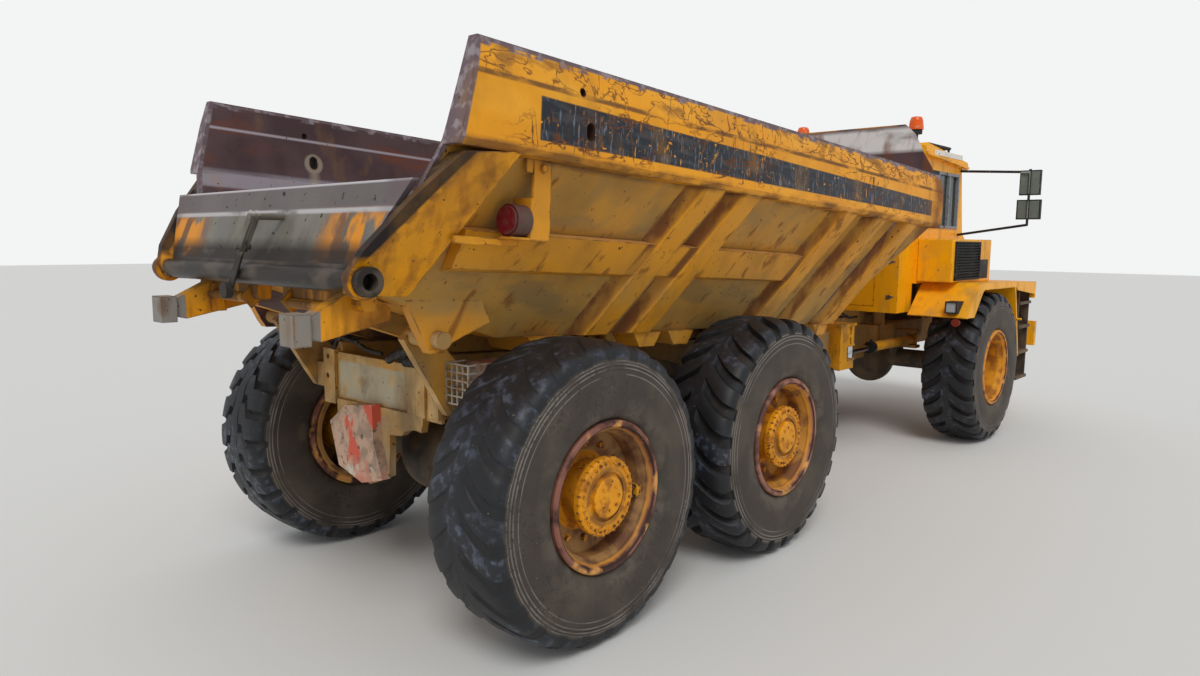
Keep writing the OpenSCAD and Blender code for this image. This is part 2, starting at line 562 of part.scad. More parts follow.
// Mirror heads: low and high edge, half width; arms: height at the cab and at the head
mirror_x = 6190;
mirror_y = 1370;
mirror_heads = [[2435, 2680, 95], [2195, 2390, 110]];
mirror_arms = [[2700, 2660], [2040, 2140]];
module mirrors() color(black) station() both() {
    bar_z(mirror_x - 12, mirror_y, 2130, 2690, 12);
    for (h = mirror_heads) block([mirror_x - 4, mirror_y - h[2], h[0]], [mirror_x + 44, mirror_y + h[2], h[1]]);
    for (a = mirror_arms) plate_x(mirror_x - 24, mirror_x, [
        [cab_half_w + seat_gap, a[0] - 12], [cab_half_w + seat_gap, a[0] + 12], [mirror_y, a[1] + 12], [mirror_y, a[1] - 12]
    ]);
}
function roof_top(x) = roof_z - (x - cab_rear_x) * (roof_z - roof_front_z) / (cab_front_x + 40 - cab_rear_x);
module roof_cut() plate_y(-cab_half_w - 40, cab_half_w + 40, [
    [cab_rear_x - 30, roof_z - 200], [cab_front_x + 60, roof_front_z - 200],
    [cab_front_x + 60, roof_top(cab_front_x + 60) + seat_gap], [cab_rear_x - 30, roof_top(cab_rear_x - 30) + seat_gap]
]);
beacon_x = cab_rear_x + 50;
beacon_y = 600;
module lamps() color(orange) station() both() translate([beacon_x, beacon_y, roof_z + 130 + seat_gap])
    rotate_extrude() polygon([[0, 0], [68, 0], [68, 25], [60, 90], [48, 118], [0, 130]]);
module roof_rack() color(black) station() difference() {
    union() {
        both() {
            bar_x(600, 2930, 5500, 6100, 15);
            for (x = [5530, 6070]) bar_z(x, 600, roof_front_z - 30, 2930, 12);
            // Posts and bases of the beacons
            bar_z(beacon_x, beacon_y, roof_z - 60, roof_z + 110, 22);
            bar_z(beacon_x, beacon_y, roof_z + 90, roof_z + 130, 58);
        }
        for (x = [5515, 6085]) bar_y(x, 2930, -600, 600, 15);
    }
    roof_cut();
}
// Louvre slats on the right side, a blank plate beside them
louvre_x = [5660, 5990];
louvre_z = [1640, 1990];
slats = 9;
module louvre() color(black) station() {
    block([louvre_x[0], -cab_half_w - 10, louvre_z[0]], [louvre_x[1], -cab_half_w - seat_gap, louvre_z[1]]);
    pitch = (louvre_z[1] - louvre_z[0] - 20) / slats;
    for (i = [0:slats - 1]) let (z = louvre_z[0] + 10 + pitch * i) plate_x(louvre_x[0] + 12, louvre_x[1] - 12, [
        [-cab_half_w - 9, z + pitch - 8], [-cab_half_w - 9, z + pitch - 16], [-cab_half_w - 26, z], [-cab_half_w - 26, z + 6]
    ]);
    block([6060, -cab_half_w - 6, 1640], [6230, -cab_half_w - seat_gap, 1800]);
}
// Hood: sides and sloping top in one shell, open to the rear and below, narrower at its front
hood_side = [[6650, 1100], [6650, 1745], [6960, 1735], [7290, 1620], [7500, 1585], [7530, 1540], [7530, 1100]];
hood_inside = [[6640, 1050], [6640, 1725], [6956, 1715], [7286, 1600], [7490, 1567], [7512, 1530], [7512, 1050]];
grille_y = 500;
grille_z = [1140, 1490];
module hood_plan(x) plate_z(1000, 1900, [
    [6600, -620 + x], [7300, -620 + x], [7560, -590 + x], [7560, 590 - x], [7300, 620 - x], [6600, 620 - x]
]);
module hood() color(yellow) station() difference() {
    intersection() { plate_y(-700, 700, hood_side); hood_plan(0); }
    intersection() { plate_y(-700, 700, hood_inside); hood_plan(20); }
    both() bar_y(hood_pin[0], hood_pin[1], 560, 640, hood_pin_r + pin_play);
    block([7500, -grille_y, grille_z[0]], [7540, grille_y, grille_z[1]]);
    // Side vents
    for (i = [0:4]) both() block([6760 + 90 * i, 580, 1300], [6800 + 90 * i, 640, 1480]);
}
module hood_grille() color(black) station() difference() {
    block([7514, -grille_y + seat_gap, grille_z[0] + seat_gap], [7538, grille_y - seat_gap, grille_z[1] - seat_gap]);
    for (i = [0:9], y = [-grille_y + 20, 15]) block([7513, y, grille_z[0] + 18 + 33 * i], [7539, y + grille_y - 35, grille_z[0] + 36 + 33 * i]);
}
// The cab door swings on two pins at its front edge
door_pin = [6138, 716];
door_hinge_z = [1760, 2300];
door_x0 = cab_rear_x + 95;
door_x1 = cab_front_x - 65;
door_top = roof_front_z - 135;
module door_pins() for (z = door_hinge_z) {
    bar_z(door_pin[0], door_pin[1], z - 10, z + 90, hinge_r);
    for (e = [z - 10, z + 80]) block([door_pin[0] + 4, cab_half_w - 10, e], [door_pin[0] + 40, door_pin[1] + 8, e + 10]);
    for (e = [z - 10, z + 80]) block([door_pin[0] - 8, door_pin[1] - 8, e], [door_pin[0] + 5, door_pin[1] + 8, e + 10]);
}
module cab_door() color(yellow) station() difference() {
    union() {
        block([door_x0, cab_half_w - cab_wall, cab_base_z + 60], [door_x1, cab_half_w, door_top]);
        // Outside handle
        block([door_x0 + 20, cab_half_w - 1, 1900], [door_x0 + 50, cab_half_w + 30, 1930]);
        block([door_x0 + 20, cab_half_w + 20, 1780], [door_x0 + 50, cab_half_w + 40, 1930]);
        for (z = door_hinge_z) {
            bar_z(door_pin[0], door_pin[1], z + 5, z + 75, knuckle_r);
            block([door_x1 - 50, cab_half_w - 1, z + 5], [door_pin[0] - 4, cab_half_w + 12, z + 75]);
        }
    }
    block([door_x0 + 60, cab_half_w - cab_wall - 1, sill_z], [door_x1 - 60, cab_half_w + 1, door_top - 60]);
    for (z = door_hinge_z) bar_z(door_pin[0], door_pin[1], z, z + 80, hinge_r + pin_play);
}
module door_glass() color(glass) station()
    block([door_x0 + 60 + seat_gap, cab_half_w - 30, sill_z + seat_gap],
        [door_x1 - 60 - seat_gap, cab_half_w - 30 + glass_t, door_top - 60 - seat_gap]);

// Dump body, drawn in its own frame: X along the floor, Z square to it, origin at the kink
module body_frame() translate([kink_x - mid_x, 0, kink_z]) rotate([0, rake, 0]) children();
// Undoes station() and body_frame() for shapes that are given by stations inside the body's frame
module by_station() rotate([0, -rake, 0]) translate([-kink_x, 0, -kink_z]) children();
function to_body(p) = let (x = p[0] - kink_x, z = p[1] - kink_z)
    [x * cos(rake) - z * sin(rake), x * sin(rake) + z * cos(rake)];
rear_top_x = -590;
rear_low_x = -800;
tail_rise = 230;
rail_front = rail_front_x - kink_x;
wall_top_y = rail_half_w - 100;
// Height of the crease below the rail's top and how far the band above it leans in
crease = 135;
band_lean = 22;
// Half width of the sloping side plate at a height above the floor's underside
function side_y(z) = floor_half_w + (wall_top_y - floor_half_w) * z / rail_low;
body_side = [
    [0, 0], [floor_len, 0], [rail_front, rail_low], [rail_front + 10, rail_low + 150],
    [rail_front - 20, rail_high], [rear_top_x, rail_high], [rear_low_x, tail_rise]
];
module body_outer() intersection() {
    plate_x(-1500, 4600, [
        [-floor_half_w, 0], [floor_half_w, 0], [wall_top_y, rail_low], [rail_half_w - 15, rail_low],
        [rail_half_w, rail_low + 25], [rail_half_w, rail_high - crease], [rail_half_w - band_lean, rail_high],
        [-rail_half_w + band_lean, rail_high], [-rail_half_w, rail_high - crease], [-rail_half_w, rail_low + 25],
        [-rail_half_w + 15, rail_low], [-wall_top_y, rail_low]
    ]);
    plate_y(-1400, 1400, body_side);
}
module body_inner() intersection() {
    plate_x(-1600, 4700, [
        [-floor_half_w + 10, plate_t], [floor_half_w - 10, plate_t],
        [wall_top_y - 15, rail_low + 20], [rail_half_w - rail_t - 20, rail_low + 90],
        [rail_half_w - rail_t, rail_high - crease], [rail_half_w - rail_t + 12, rail_high + 10],
        [-rail_half_w + rail_t - 12, rail_high + 10], [-rail_half_w + rail_t, rail_high - crease],
        [-rail_half_w + rail_t + 20, rail_low + 90], [-wall_top_y + 15, rail_low + 20]
    ]);
    plate_y(-1400, 1400, [
        [0, plate_t], [floor_len - 12, plate_t], [rail_front - 30, rail_low], [rail_front - 30, rail_high + 20],
        [rear_top_x - 300, rail_high + 20], [rear_low_x - 300, tail_rise + plate_t + 80], [rear_low_x, tail_rise + plate_t]
    ]);
}
// Lifting holes through both rails: stations, heights, radii, lengths
rail_holes = [[-110, 2420, 26, 30], [-160, 2585, 18, 2]];
module body_shell() color(yellow) body_frame() difference() {
    body_outer();
    body_inner();
    for (h = rail_holes) both() by_station() {
        for (e = [-h[3] / 2, h[3] / 2]) bar_y(h[0], h[1] + e, rail_half_w - 150, rail_half_w + 10, h[2]);
        block([h[0] - h[2], rail_half_w - 150, h[1] - h[3] / 2], [h[0] + h[2], rail_half_w + 10, h[1] + h[3] / 2]);
    }
}
// Ribs: stations of foot and head along the floor; each is a folded channel welded to the sloping side
rib_feet = [640, 1020, 2280, 2780, 3350];
rib_lean = 420;
rib_depth = 70;
rib_base_w = 300;
rib_face_w = 150;
side_angle = atan2(wall_top_y - floor_half_w, rail_low);
module rib(foot) intersection() {
    translate([foot, floor_half_w, 0]) rotate([-side_angle, 0, 0]) rotate([0, atan2(rib_lean, rail_low / cos(side_angle)), 0])
        translate([0, 0, -200]) linear_extrude(1500) polygon([
            [-rib_base_w / 2, -5], [-rib_face_w / 2, rib_depth], [rib_face_w / 2, rib_depth], [rib_base_w / 2, -5]
        ]);
    block([-800, 0, 1 + seat_gap], [4600, rail_half_w - 20, rail_low - seat_gap]);
}
// Folded channels across the underside of the floor, their ends show above the wheels
cross_feet = [300, 1130, 1460, 2280, 2780, 3300];
cross_h = 84;
stiffener_x0 = -470;
hinge_at = to_body([hinge_x, hinge_z]);
hoist_at = to_body(hoist_top);
module body_ribs() color(yellow) { side_ribs(); front_ribs(); lamp_brackets(); }
module side_ribs() body_frame() difference() {
    union() {
        for (x = rib_feet) both() rib(x);
        // Stiffener halfway up the side
        both() plate_x(stiffener_x0, rib_feet[2] + 120, [
            [side_y(520) - 5, 520], [side_y(505) + 68, 500], [side_y(335) + 72, 335], [side_y(322) - 5, 322]
        ]);
    }
    body_outer();
}
module floor_frame() color(yellow) body_frame() difference() {
    union() {
        for (x = cross_feet) plate_y(-760, 760, [[x - 130, 1], [x - 70, -cross_h], [x + 70, -cross_h], [x + 130, 1]]);
        // Long sills that rest on the frame and rise along the chute
        both() plate_y(310, 410, [
            [floor_len - 60, 1], [floor_len - 100, -sill_h], [20, -sill_h], [-60, -sill_h + 10],
            [rear_low_x + 90, tail_rise - 125], [rear_low_x + 90, tail_rise - 25], [0, 1]
        ]);
        // Lugs on the hinge pins
        both() plate_y(hinge_y - 50, hinge_y + 10, [
            [hinge_at[0] - 62, hinge_at[1] - 25], [hinge_at[0] - 35, hinge_at[1] - 62], [hinge_at[0] + 35, hinge_at[1] - 62],
            [hinge_at[0] + 62, hinge_at[1] - 25], [hinge_at[0] + 300, 90], [hinge_at[0] + 200, 300], [hinge_at[0] - 200, 240]
        ]);
        // Lugs on the hoist cylinders' pins
        for (y = [hoist_y - 75, hoist_y + 55]) both() plate_y(y, y + 20, [
            [hoist_at[0] - 50, hoist_at[1] - 50], [hoist_at[0] + 50, hoist_at[1] - 50],
            [hoist_at[0] + 120, 1], [hoist_at[0] - 120, 1]
        ]);
        both() bar_y(hoist_at[0], hoist_at[1], hoist_y - 70, hoist_y + 70, hoist_pin_r);
    }
    body_outer();
    both() bar_y(hinge_at[0], hinge_at[1], hinge_y - 60, hinge_y + 20, hinge_pin_r + pin_play);
}
// Channels up the front wall
module front_ribs() body_frame() difference() {
    for (y = [-420, 0, 420]) plate_y(y - 60, y + 60, [
        [floor_len - 30, 30], [floor_len + 40, 30], [rail_front + 40, rail_low - 60], [rail_front + 40, rail_high - 120],
        [rail_front - 40, rail_high - 60], [rail_front - 40, rail_low]
    ]);
    body_outer();
}
guard_x = rail_front - 32;
module spill_guard() color(dark_steel) body_frame() intersection() {
    plate_y(-1250, 1250, [
        [guard_x, rail_high + seat_gap], [guard_x + 14, rail_high + seat_gap], [guard_x + 14, rail_high + 200],
        [guard_x + 104, rail_high + 460], [guard_x + 88, rail_high + 460], [guard_x, rail_high + 204]
    ]);
    plate_x(guard_x - 10, guard_x + 200, [
        [-1185, rail_high], [1185, rail_high], [1165, rail_high + 70], [985, rail_high + 365], [880, rail_high + 460],
        [-880, rail_high + 460], [-985, rail_high + 365], [-1165, rail_high + 70]
    ]);
}

// Tail lamps hang on straps below the rails, each on a tray that a bar ties to the rear post
strap_y = rail_half_w - 92;
strap_x = [-215, -110];
tray_z = 470;
lamp_r = 70;
module lamp_brackets() difference() {
    body_frame() both() {
        block([strap_x[0], strap_y, tray_z], [strap_x[1], strap_y + 12, rail_low - seat_gap]);
        block([strap_x[0] - 110, strap_y - 98, tray_z], [strap_x[1], strap_y + 12, tray_z + 10]);
        block([strap_x[0] - 10, strap_y - 98, tray_z], [strap_x[0] + 1, strap_y + 12, tray_z + 180]);
        block([strap_x[0] - 40, strap_y, rail_low - 60], [strap_x[0] + 1, strap_y + 8, rail_low - seat_gap]);
        block([-560, strap_y - 90, tray_z - 30], [strap_x[0], strap_y - 78, tray_z + 2]);
        bar_y((strap_x[0] + strap_x[1]) / 2, rail_low - 35, strap_y + 10, strap_y + 26, 18);
    }
    rear_posts();
}
module tail_lamps() color("#a01818") body_frame() both() {
    bar_x(strap_y - 40, tray_z + 10 + seat_gap + lamp_r, strap_x[0] - 95, strap_x[0] - 10 - seat_gap, lamp_r);
    bar_x(strap_y - 40, tray_z + 10 + seat_gap + lamp_r, strap_x[0] - 106, strap_x[0] - 94, lamp_r - 9);
}

// Rear posts run from the rails down to the tailgate's tube, on the outside of the side plates
post_gap = 55;
post_depth = 100;
post_side = [
    [-800, 2285], [-974, 2094], [-1112, 1902], [-1150, 1800], [-1120, 1730], [-849, 1705], [-520, 2300]
];
module post_band(y0) for (m = [0, 1]) mirror([0, m, 0]) plate_x(-1100, 0, [
    [side_y(0) + y0, 0], [side_y(0) + post_depth, 0], [side_y(rail_low) + post_depth, rail_low - seat_gap],
    [side_y(rail_low) + y0, rail_low - seat_gap]
]);
module rear_posts() color(yellow) body_frame() difference() {
    union() {
        intersection() { by_station() plate_y(-1300, 1300, post_side); post_band(post_gap); }
        intersection() {
            by_station() plate_y(-1300, 1300, post_side);
            post_band(-5);
            plate_y(-1300, 1300, [[rear_low_x, tail_rise - 60], [0, tail_rise - 60], [0, rail_low], [rear_top_x - 88, rail_low]]);
        }
        by_station() both() bar_y(gate_tube_x, gate_tube_z, 948, 985, gate_boss_r + 12);
    }
    by_station() both() bar_y(gate_tube_x, gate_tube_z, 800, 1100, gate_tube_r + pin_play);
    body_outer();
}
// Beam under the chute's end with the two arms that stop the tipped body against the frame
module stop_arms() color(shade_yellow) difference() {
    union() {
        body_frame() both() plate_y(130, 800, [
            [rear_low_x, tail_rise - 60], [rear_low_x, tail_rise + 5], [rear_low_x + 70, tail_rise - 15],
            [rear_low_x + 70, tail_rise - 85], [rear_low_x + 15, tail_rise - 85]
        ]);
        station() both() {
            plate_y(640, 720, [[-800, 1650], [-960, 1740], [-1185, 1628], [-1190, 1540], [-1130, 1525], [-800, 1590]]);
            block([tail_x, 622, 1512], [tail_x + 75, 742, 1645]);
            plate_y(600, 612, [[-960, 1700], [-990, 1712], [-1020, 1700], [-1020, 1560], [-940, 1560]]);
            plate_y(200, 212, [[-940, 1640], [-990, 1715], [-1040, 1660], [-990, 1600]]);
            bar_y(-1000, 1650, 200, 650, 22);
        }
    }
    body_frame() body_outer();
}
// Tailgate: folded plate on a tube that turns in the rear posts
gate_side = [
    [-1092, 1800], [-1086, 1835], [-1000, 2062], [-990, 2082], [-952, 2180], [-922, 2180], [-962, 2075], [-972, 2055],
    [-1052, 1835], [-1052, 1800]
];
strap_top = [-200, 2040];
strap_knee = [-75, 1905];
strap_low = [80, 1700];
strap_pin_r = 14;
strap_x0 = gate_tube_x - 62;
module gate_bar(x0, a, b, w) let (d = (b - a) / norm(b - a), n = [-d[1], d[0]] * w)
    plate_x(x0, x0 + 10, [a - d * w - n, a - d * w + n, b + d * w + n, b + d * w - n]);
module tailgate() color(dark_steel) station() difference() {
    union() {
        bar_y(gate_tube_x, gate_tube_z, -1030, 1030, gate_tube_r);
        both() bar_y(gate_tube_x, gate_tube_z, 993, 1030, gate_boss_r);
        intersection() {
            plate_y(-1200, 1200, gate_side);
            plate_x(-1300, -800, [[-880, 1790], [880, 1790], [922, 1860], [1122, 2181], [-1122, 2181], [-922, 1860]]);
        }
        // Upper straps of the latch with their pin
        gate_bar(strap_x0 - 14, strap_top, strap_knee, 18);
        gate_bar(strap_x0 + 14, strap_top, strap_knee, 18);
        bar_x(strap_top[0], strap_top[1], strap_x0 - 18, -1000, 16);
        bar_x(strap_knee[0], strap_knee[1], strap_x0 - 30, strap_x0 + 40, strap_pin_r);
    }
    both() bar_y(gate_tube_x, gate_tube_z, 960, 1031, gate_tube_r - 14);
}
module gate_link() color(dark_steel) station() difference() {
    union() {
        gate_bar(strap_x0, strap_knee, strap_low, 22);
        bar_x(strap_low[0], strap_low[1], strap_x0 - 26, strap_x0 + 8, 38);
    }
    bar_x(strap_knee[0], strap_knee[1], strap_x0 - 5, strap_x0 + 15, strap_pin_r + pin_play);
}

// Hoist cylinders
hoist_angle = atan2(hoist_top[1] - hoist_low[1], hoist_top[0] - hoist_low[0]);
hoist_len = norm(hoist_top - hoist_low);
module hoist_frame() translate([hoist_low[0] - mid_x, 0, hoist_low[1]]) rotate([0, -hoist_angle, 0]) children();
module hoist_barrels() color(dark_steel) hoist_frame() both() difference() {
    union() {
        bar_x(hoist_y, 0, 40, hoist_len - 130, 62);
        bar_y(0, 0, hoist_y - 50, hoist_y + 50, 58);
    }
    bar_y(0, 0, hoist_y - 60, hoist_y + 62, hoist_pin_r + pin_play);
    bar_x(hoist_y, 0, 90, hoist_len, 42 + pin_play);
}
module hoist_rods() color(chrome) hoist_frame() both() difference() {
    union() {
        bar_x(hoist_y, 0, 300, hoist_len - 40, 42);
        bar_y(hoist_len, 0, hoist_y - 45, hoist_y + 45, 52);
    }
    bar_y(hoist_len, 0, hoist_y - 50, hoist_y + 50, hoist_pin_r + pin_play);
}

// Steering cylinders
steer_eye = [4270, 440];
steer_base = [5700, 470];
steer_z = 950;
steer_pin_r = 32;
steer_len = norm(steer_base - steer_eye);
steer_turn = atan2(steer_base[1] - steer_eye[1], steer_base[0] - steer_eye[0]);
module steer_frame(side) translate([steer_base[0] - mid_x, side * steer_base[1], steer_z])
    rotate([0, 0, 180 + side * steer_turn]) children();
module steer_barrel(side) color(yellow) steer_frame(side) difference() {
    union() {
        bar_x(0, 0, 30, 1000, 46);
        // Gland with its oil port
        bar_x(0, 0, 935, 1000, 56);
        bar_z(965, 0, 40, 76, 14);
        bar_z(0, 0, -50, 50, 50);
    }
    bar_z(0, 0, -60, 60, steer_pin_r + pin_play);
    bar_x(0, 0, 60, 1010, 28 + pin_play);
}
// The rod carries its own eye pin, which seats between the hitch's ears
module steer_rod(side) color(chrome) steer_frame(side) {
    bar_x(0, 0, 450, steer_len - 20, 28);
    bar_z(steer_len, 0, -ear_gap / 2 + seat_gap, ear_gap / 2 - seat_gap, 46);
}
module steer_barrel_l() steer_barrel(1);
module steer_barrel_r() steer_barrel(-1);
module steer_rod_l() steer_rod(1);
module steer_rod_r() steer_rod(-1);

module tyre_rl() wheel_at(0, 1) tyre(1);
module tyre_rr() wheel_at(0, -1) tyre(-1);
module tyre_ml() wheel_at(1, 1) tyre(1);
module tyre_mr() wheel_at(1, -1) tyre(-1);
module tyre_fl() wheel_at(2, 1) tyre(1);
module tyre_fr() wheel_at(2, -1) tyre(-1);
module rim_rl() wheel_at(0, 1) rim(false);
module rim_rr() wheel_at(0, -1) rim(false);
module rim_ml() wheel_at(1, 1) rim(false);
module rim_mr() wheel_at(1, -1) rim(false);
module rim_fl() wheel_at(2, 1) rim(true);
module rim_fr() wheel_at(2, -1) rim(true);

frame_rear();
frame_brackets();
tow_casting();
valve_box();
bogie_beams();
rear_axles();
rear_shaft();
hitch_yoke();
frame_front();
front_axle();
engine_block();
cab_shell();
cab_roof();
cab_glass();
cab_seat();
cab_console();
mudguards();
cabinet();
bumper();
exhaust();
steps();
mirrors();
lamps();
roof_rack();
louvre();
window_frames();
head_lamps();
work_lamps();
hood();
hood_grille();
cab_door();
door_glass();
cabinet_door();
body_shell();
body_ribs();
floor_frame();
rear_posts();
stop_arms();
spill_guard();
tail_lamps();
tailgate();
gate_link();
hoist_barrels();
hoist_rods();
steer_barrel_l();
steer_barrel_r();
steer_rod_l();
steer_rod_r();
tyre_rl();
tyre_rr();
tyre_ml();
tyre_mr();
tyre_fl();
tyre_fr();
rim_rl();
rim_rr();
rim_ml();
rim_mr();
rim_fl();
rim_fr();
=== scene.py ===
import math

import bmesh
import bpy
from mathutils import Matrix, Vector


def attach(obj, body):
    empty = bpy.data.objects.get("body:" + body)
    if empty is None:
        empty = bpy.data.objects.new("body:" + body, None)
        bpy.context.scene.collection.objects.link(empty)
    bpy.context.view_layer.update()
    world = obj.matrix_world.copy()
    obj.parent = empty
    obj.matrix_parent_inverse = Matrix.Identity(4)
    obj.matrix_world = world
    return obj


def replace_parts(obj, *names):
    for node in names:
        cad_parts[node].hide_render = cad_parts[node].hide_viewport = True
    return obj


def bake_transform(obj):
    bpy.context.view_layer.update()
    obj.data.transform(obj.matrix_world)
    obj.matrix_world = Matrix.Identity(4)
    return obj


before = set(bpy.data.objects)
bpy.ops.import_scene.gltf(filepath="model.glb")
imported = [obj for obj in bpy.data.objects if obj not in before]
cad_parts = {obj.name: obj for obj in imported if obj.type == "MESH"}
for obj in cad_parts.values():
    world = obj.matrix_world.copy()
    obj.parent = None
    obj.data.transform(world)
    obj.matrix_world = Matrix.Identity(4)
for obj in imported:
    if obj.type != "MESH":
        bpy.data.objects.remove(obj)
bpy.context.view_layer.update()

# Camera at the photographer's eye, behind the truck's right rear corner, a wide lens 1.95 m above the floor.
eye = Vector((-6.038, -3.787, 1.947))
yaw, pitch, roll = math.radians(42.27), math.radians(-6.79), math.radians(0.52)
focal_length, picture_width = 819.18, 1200  # both in pixels of the photograph
ahead = Vector((math.cos(yaw) * math.cos(pitch), math.sin(yaw) * math.cos(pitch), math.sin(pitch)))
level = Vector((math.sin(yaw), -math.cos(yaw), 0.0))
raised = level.cross(ahead)
side = math.cos(roll) * level + math.sin(roll) * raised
top = -math.sin(roll) * level + math.cos(roll) * raised
lens_data = bpy.data.cameras.new("camera")
lens_data.sensor_width = 36.0
lens_data.lens = focal_length / picture_width * lens_data.sensor_width
camera = bpy.data.objects.new("camera", lens_data)
camera.matrix_world = Matrix.Translation(eye) @ Matrix((side, top, -ahead)).transposed().to_4x4()
bpy.context.scene.collection.objects.link(camera)
bpy.context.scene.camera = camera
bpy.context.scene.view_settings.view_transform = "Standard"


def srgb(code):
    """Linear colour of an sRGB hex code."""
    parts = [int(code[i:i + 2], 16) / 255 for i in (1, 3, 5)]
    return [c / 12.92 if c <= 0.04045 else ((c + 0.055) / 1.055) ** 2.4 for c in parts] + [1.0]


def add(near, kind, inputs=None, **settings):
    """Adds a node to a tree or to a socket's tree, sets it up and returns its result. Its inputs are filled
    with links, hex colours or values."""
    tree = near.id_data
    node = tree.nodes.new(kind)
    for name, value in settings.items():
        setattr(node, name, value)
    for name, value in (inputs or {}).items():
        if isinstance(value, bpy.types.NodeSocket):
            tree.links.new(value, node.inputs[name])
        else:
            node.inputs[name].default_value = srgb(value) if isinstance(value, str) else value
    if node.outputs:
        colour_result = 2
        return node.outputs[colour_result if settings.get("data_type") == "RGBA" else 0]


# Floor and light of a plain studio: a pale floor, an even sky and one broad soft sun.
world = bpy.data.worlds.new("studio")
bpy.context.scene.world = world
world.use_nodes = True
sky = world.node_tree
sky.nodes.clear()
ray = add(sky, "ShaderNodeLightPath").node.outputs
seen = add(sky, "ShaderNodeMath", {0: ray["Is Camera Ray"], 1: ray["Is Transmission Ray"]},
           operation="MAXIMUM")
soft = add(sky, "ShaderNodeBackground", {"Color": "#f4f6fa", "Strength": 0.66})
pale = add(sky, "ShaderNodeBackground", {"Color": "#f3f4f4", "Strength": 1.0})
both_skies = add(sky, "ShaderNodeMixShader", {0: seen, 1: soft, 2: pale})
add(sky, "ShaderNodeOutputWorld", {0: both_skies})
sun_data = bpy.data.lights.new("sun", "SUN")
sun_data.energy = 1.35
sun_data.angle = math.radians(25)
sun = bpy.data.objects.new("sun", sun_data)
sun.rotation_euler = (math.radians(38), math.radians(-14), math.radians(-28))
bpy.context.scene.collection.objects.link(sun)
floor_mesh = bpy.data.meshes.new("floor")
far = 60.0
floor_mesh.from_pydata([(-far, -far, 0), (far, -far, 0), (far, far, 0), (-far, far, 0)], [], [(0, 1, 2, 3)])
floor = bpy.data.objects.new("floor", floor_mesh)
bpy.context.scene.collection.objects.link(floor)
floor_look = bpy.data.materials.new("pale_floor")
floor_look.use_nodes = True
floor_shader = floor_look.node_tree.nodes["Principled BSDF"]
floor_shader.inputs["Base Color"].default_value = srgb("#d9d8d4")
floor_shader.inputs["Roughness"].default_value = 0.85
floor_mesh.materials.append(floor_look)


# Dump body: folded and welded wear plate, sprayed with yellow enamel. Its box rails are scratched along the
# upper band, the load has scoured the inside down to dark oxide, and rust runs down the sloping sides.
def dress(names, look):
    """Gives CAD nodes their material."""
    for name in names:
        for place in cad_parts[name].material_slots:
            place.material = look


def cloud(spot, scale, detail, low, high, stretch=(1, 1, 1), place=(0, 0, 0)):
    """Mask of patches; scale is per metre, a stretch below 1 draws an axis out, place shifts the pattern."""
    mapped = add(spot, "ShaderNodeMapping", {"Vector": spot, "Scale": stretch, "Location": place})
    noise = add(spot, "ShaderNodeTexNoise", {"Vector": mapped, "Scale": scale, "Detail": detail})
    return rise(noise, low, high)


def rise(value, start, end, low=0.0, high=1.0, clamp=True):
    """Goes from low to high while the value goes from start to end; from 0 to 1 it is a mask."""
    limits = {"From Min": start, "From Max": end, "To Min": low, "To Max": high}
    return add(value, "ShaderNodeMapRange", {"Value": value, **limits}, clamp=clamp)


def all_of(first, *others, operation="MULTIPLY"):
    """Masks or numbers joined one after another."""
    for other in others:
        first = add(first, "ShaderNodeMath", {0: first, 1: other}, operation=operation)
    return first


def any_of(*masks):
    """The strongest of some masks."""
    return all_of(*masks, operation="MAXIMUM")


def within(value, low, high, soft=0.004):
    """Mask of a band of values."""
    return all_of(rise(value, low - soft, low + soft), rise(value, high + soft, high - soft))


def size_of(value):
    """A value without its sign."""
    return add(value, "ShaderNodeMath", {0: value}, operation="ABSOLUTE")


def scratches(spot, scale, width, stretch=(1, 1, 1), place=(0, 0, 0)):
    """Thin curly lines, drawn where a noise crosses its middle."""
    mapped = add(spot, "ShaderNodeMapping", {"Vector": spot, "Scale": stretch, "Location": place})
    noise = add(spot, "ShaderNodeTexNoise", {"Vector": mapped, "Scale": scale, "Detail": 5.0})
    return rise(size_of(all_of(noise, 0.5, operation="SUBTRACT")), width, 0.2 * width)


def stripes(value, density):
    """Waves across a value, for ribs and flutes too fine to model."""
    return add(value, "ShaderNodeMath", {0: all_of(value, density)}, operation="SINE")


def axes(spot):
    """The X, Y and Z of a place."""
    return list(add(spot, "ShaderNodeSeparateXYZ", {0: spot}).node.outputs)


def away_from(centre, across, up):
    """How far the place (across, up) lies from a centre, in one plane."""
    place = add(up, "ShaderNodeCombineXYZ", {0: across, 2: up})
    target = (centre[0], 0, centre[1])
    return add(up, "ShaderNodeVectorMath", {0: place, 1: target}, operation="DISTANCE").node.outputs["Value"]


def along_axis(spot, axis):
    """How far a place lies along an axis."""
    reach = add(spot, "ShaderNodeVectorMath", {0: spot, 1: axis}, operation="DOT_PRODUCT")
    return reach.node.outputs["Value"]


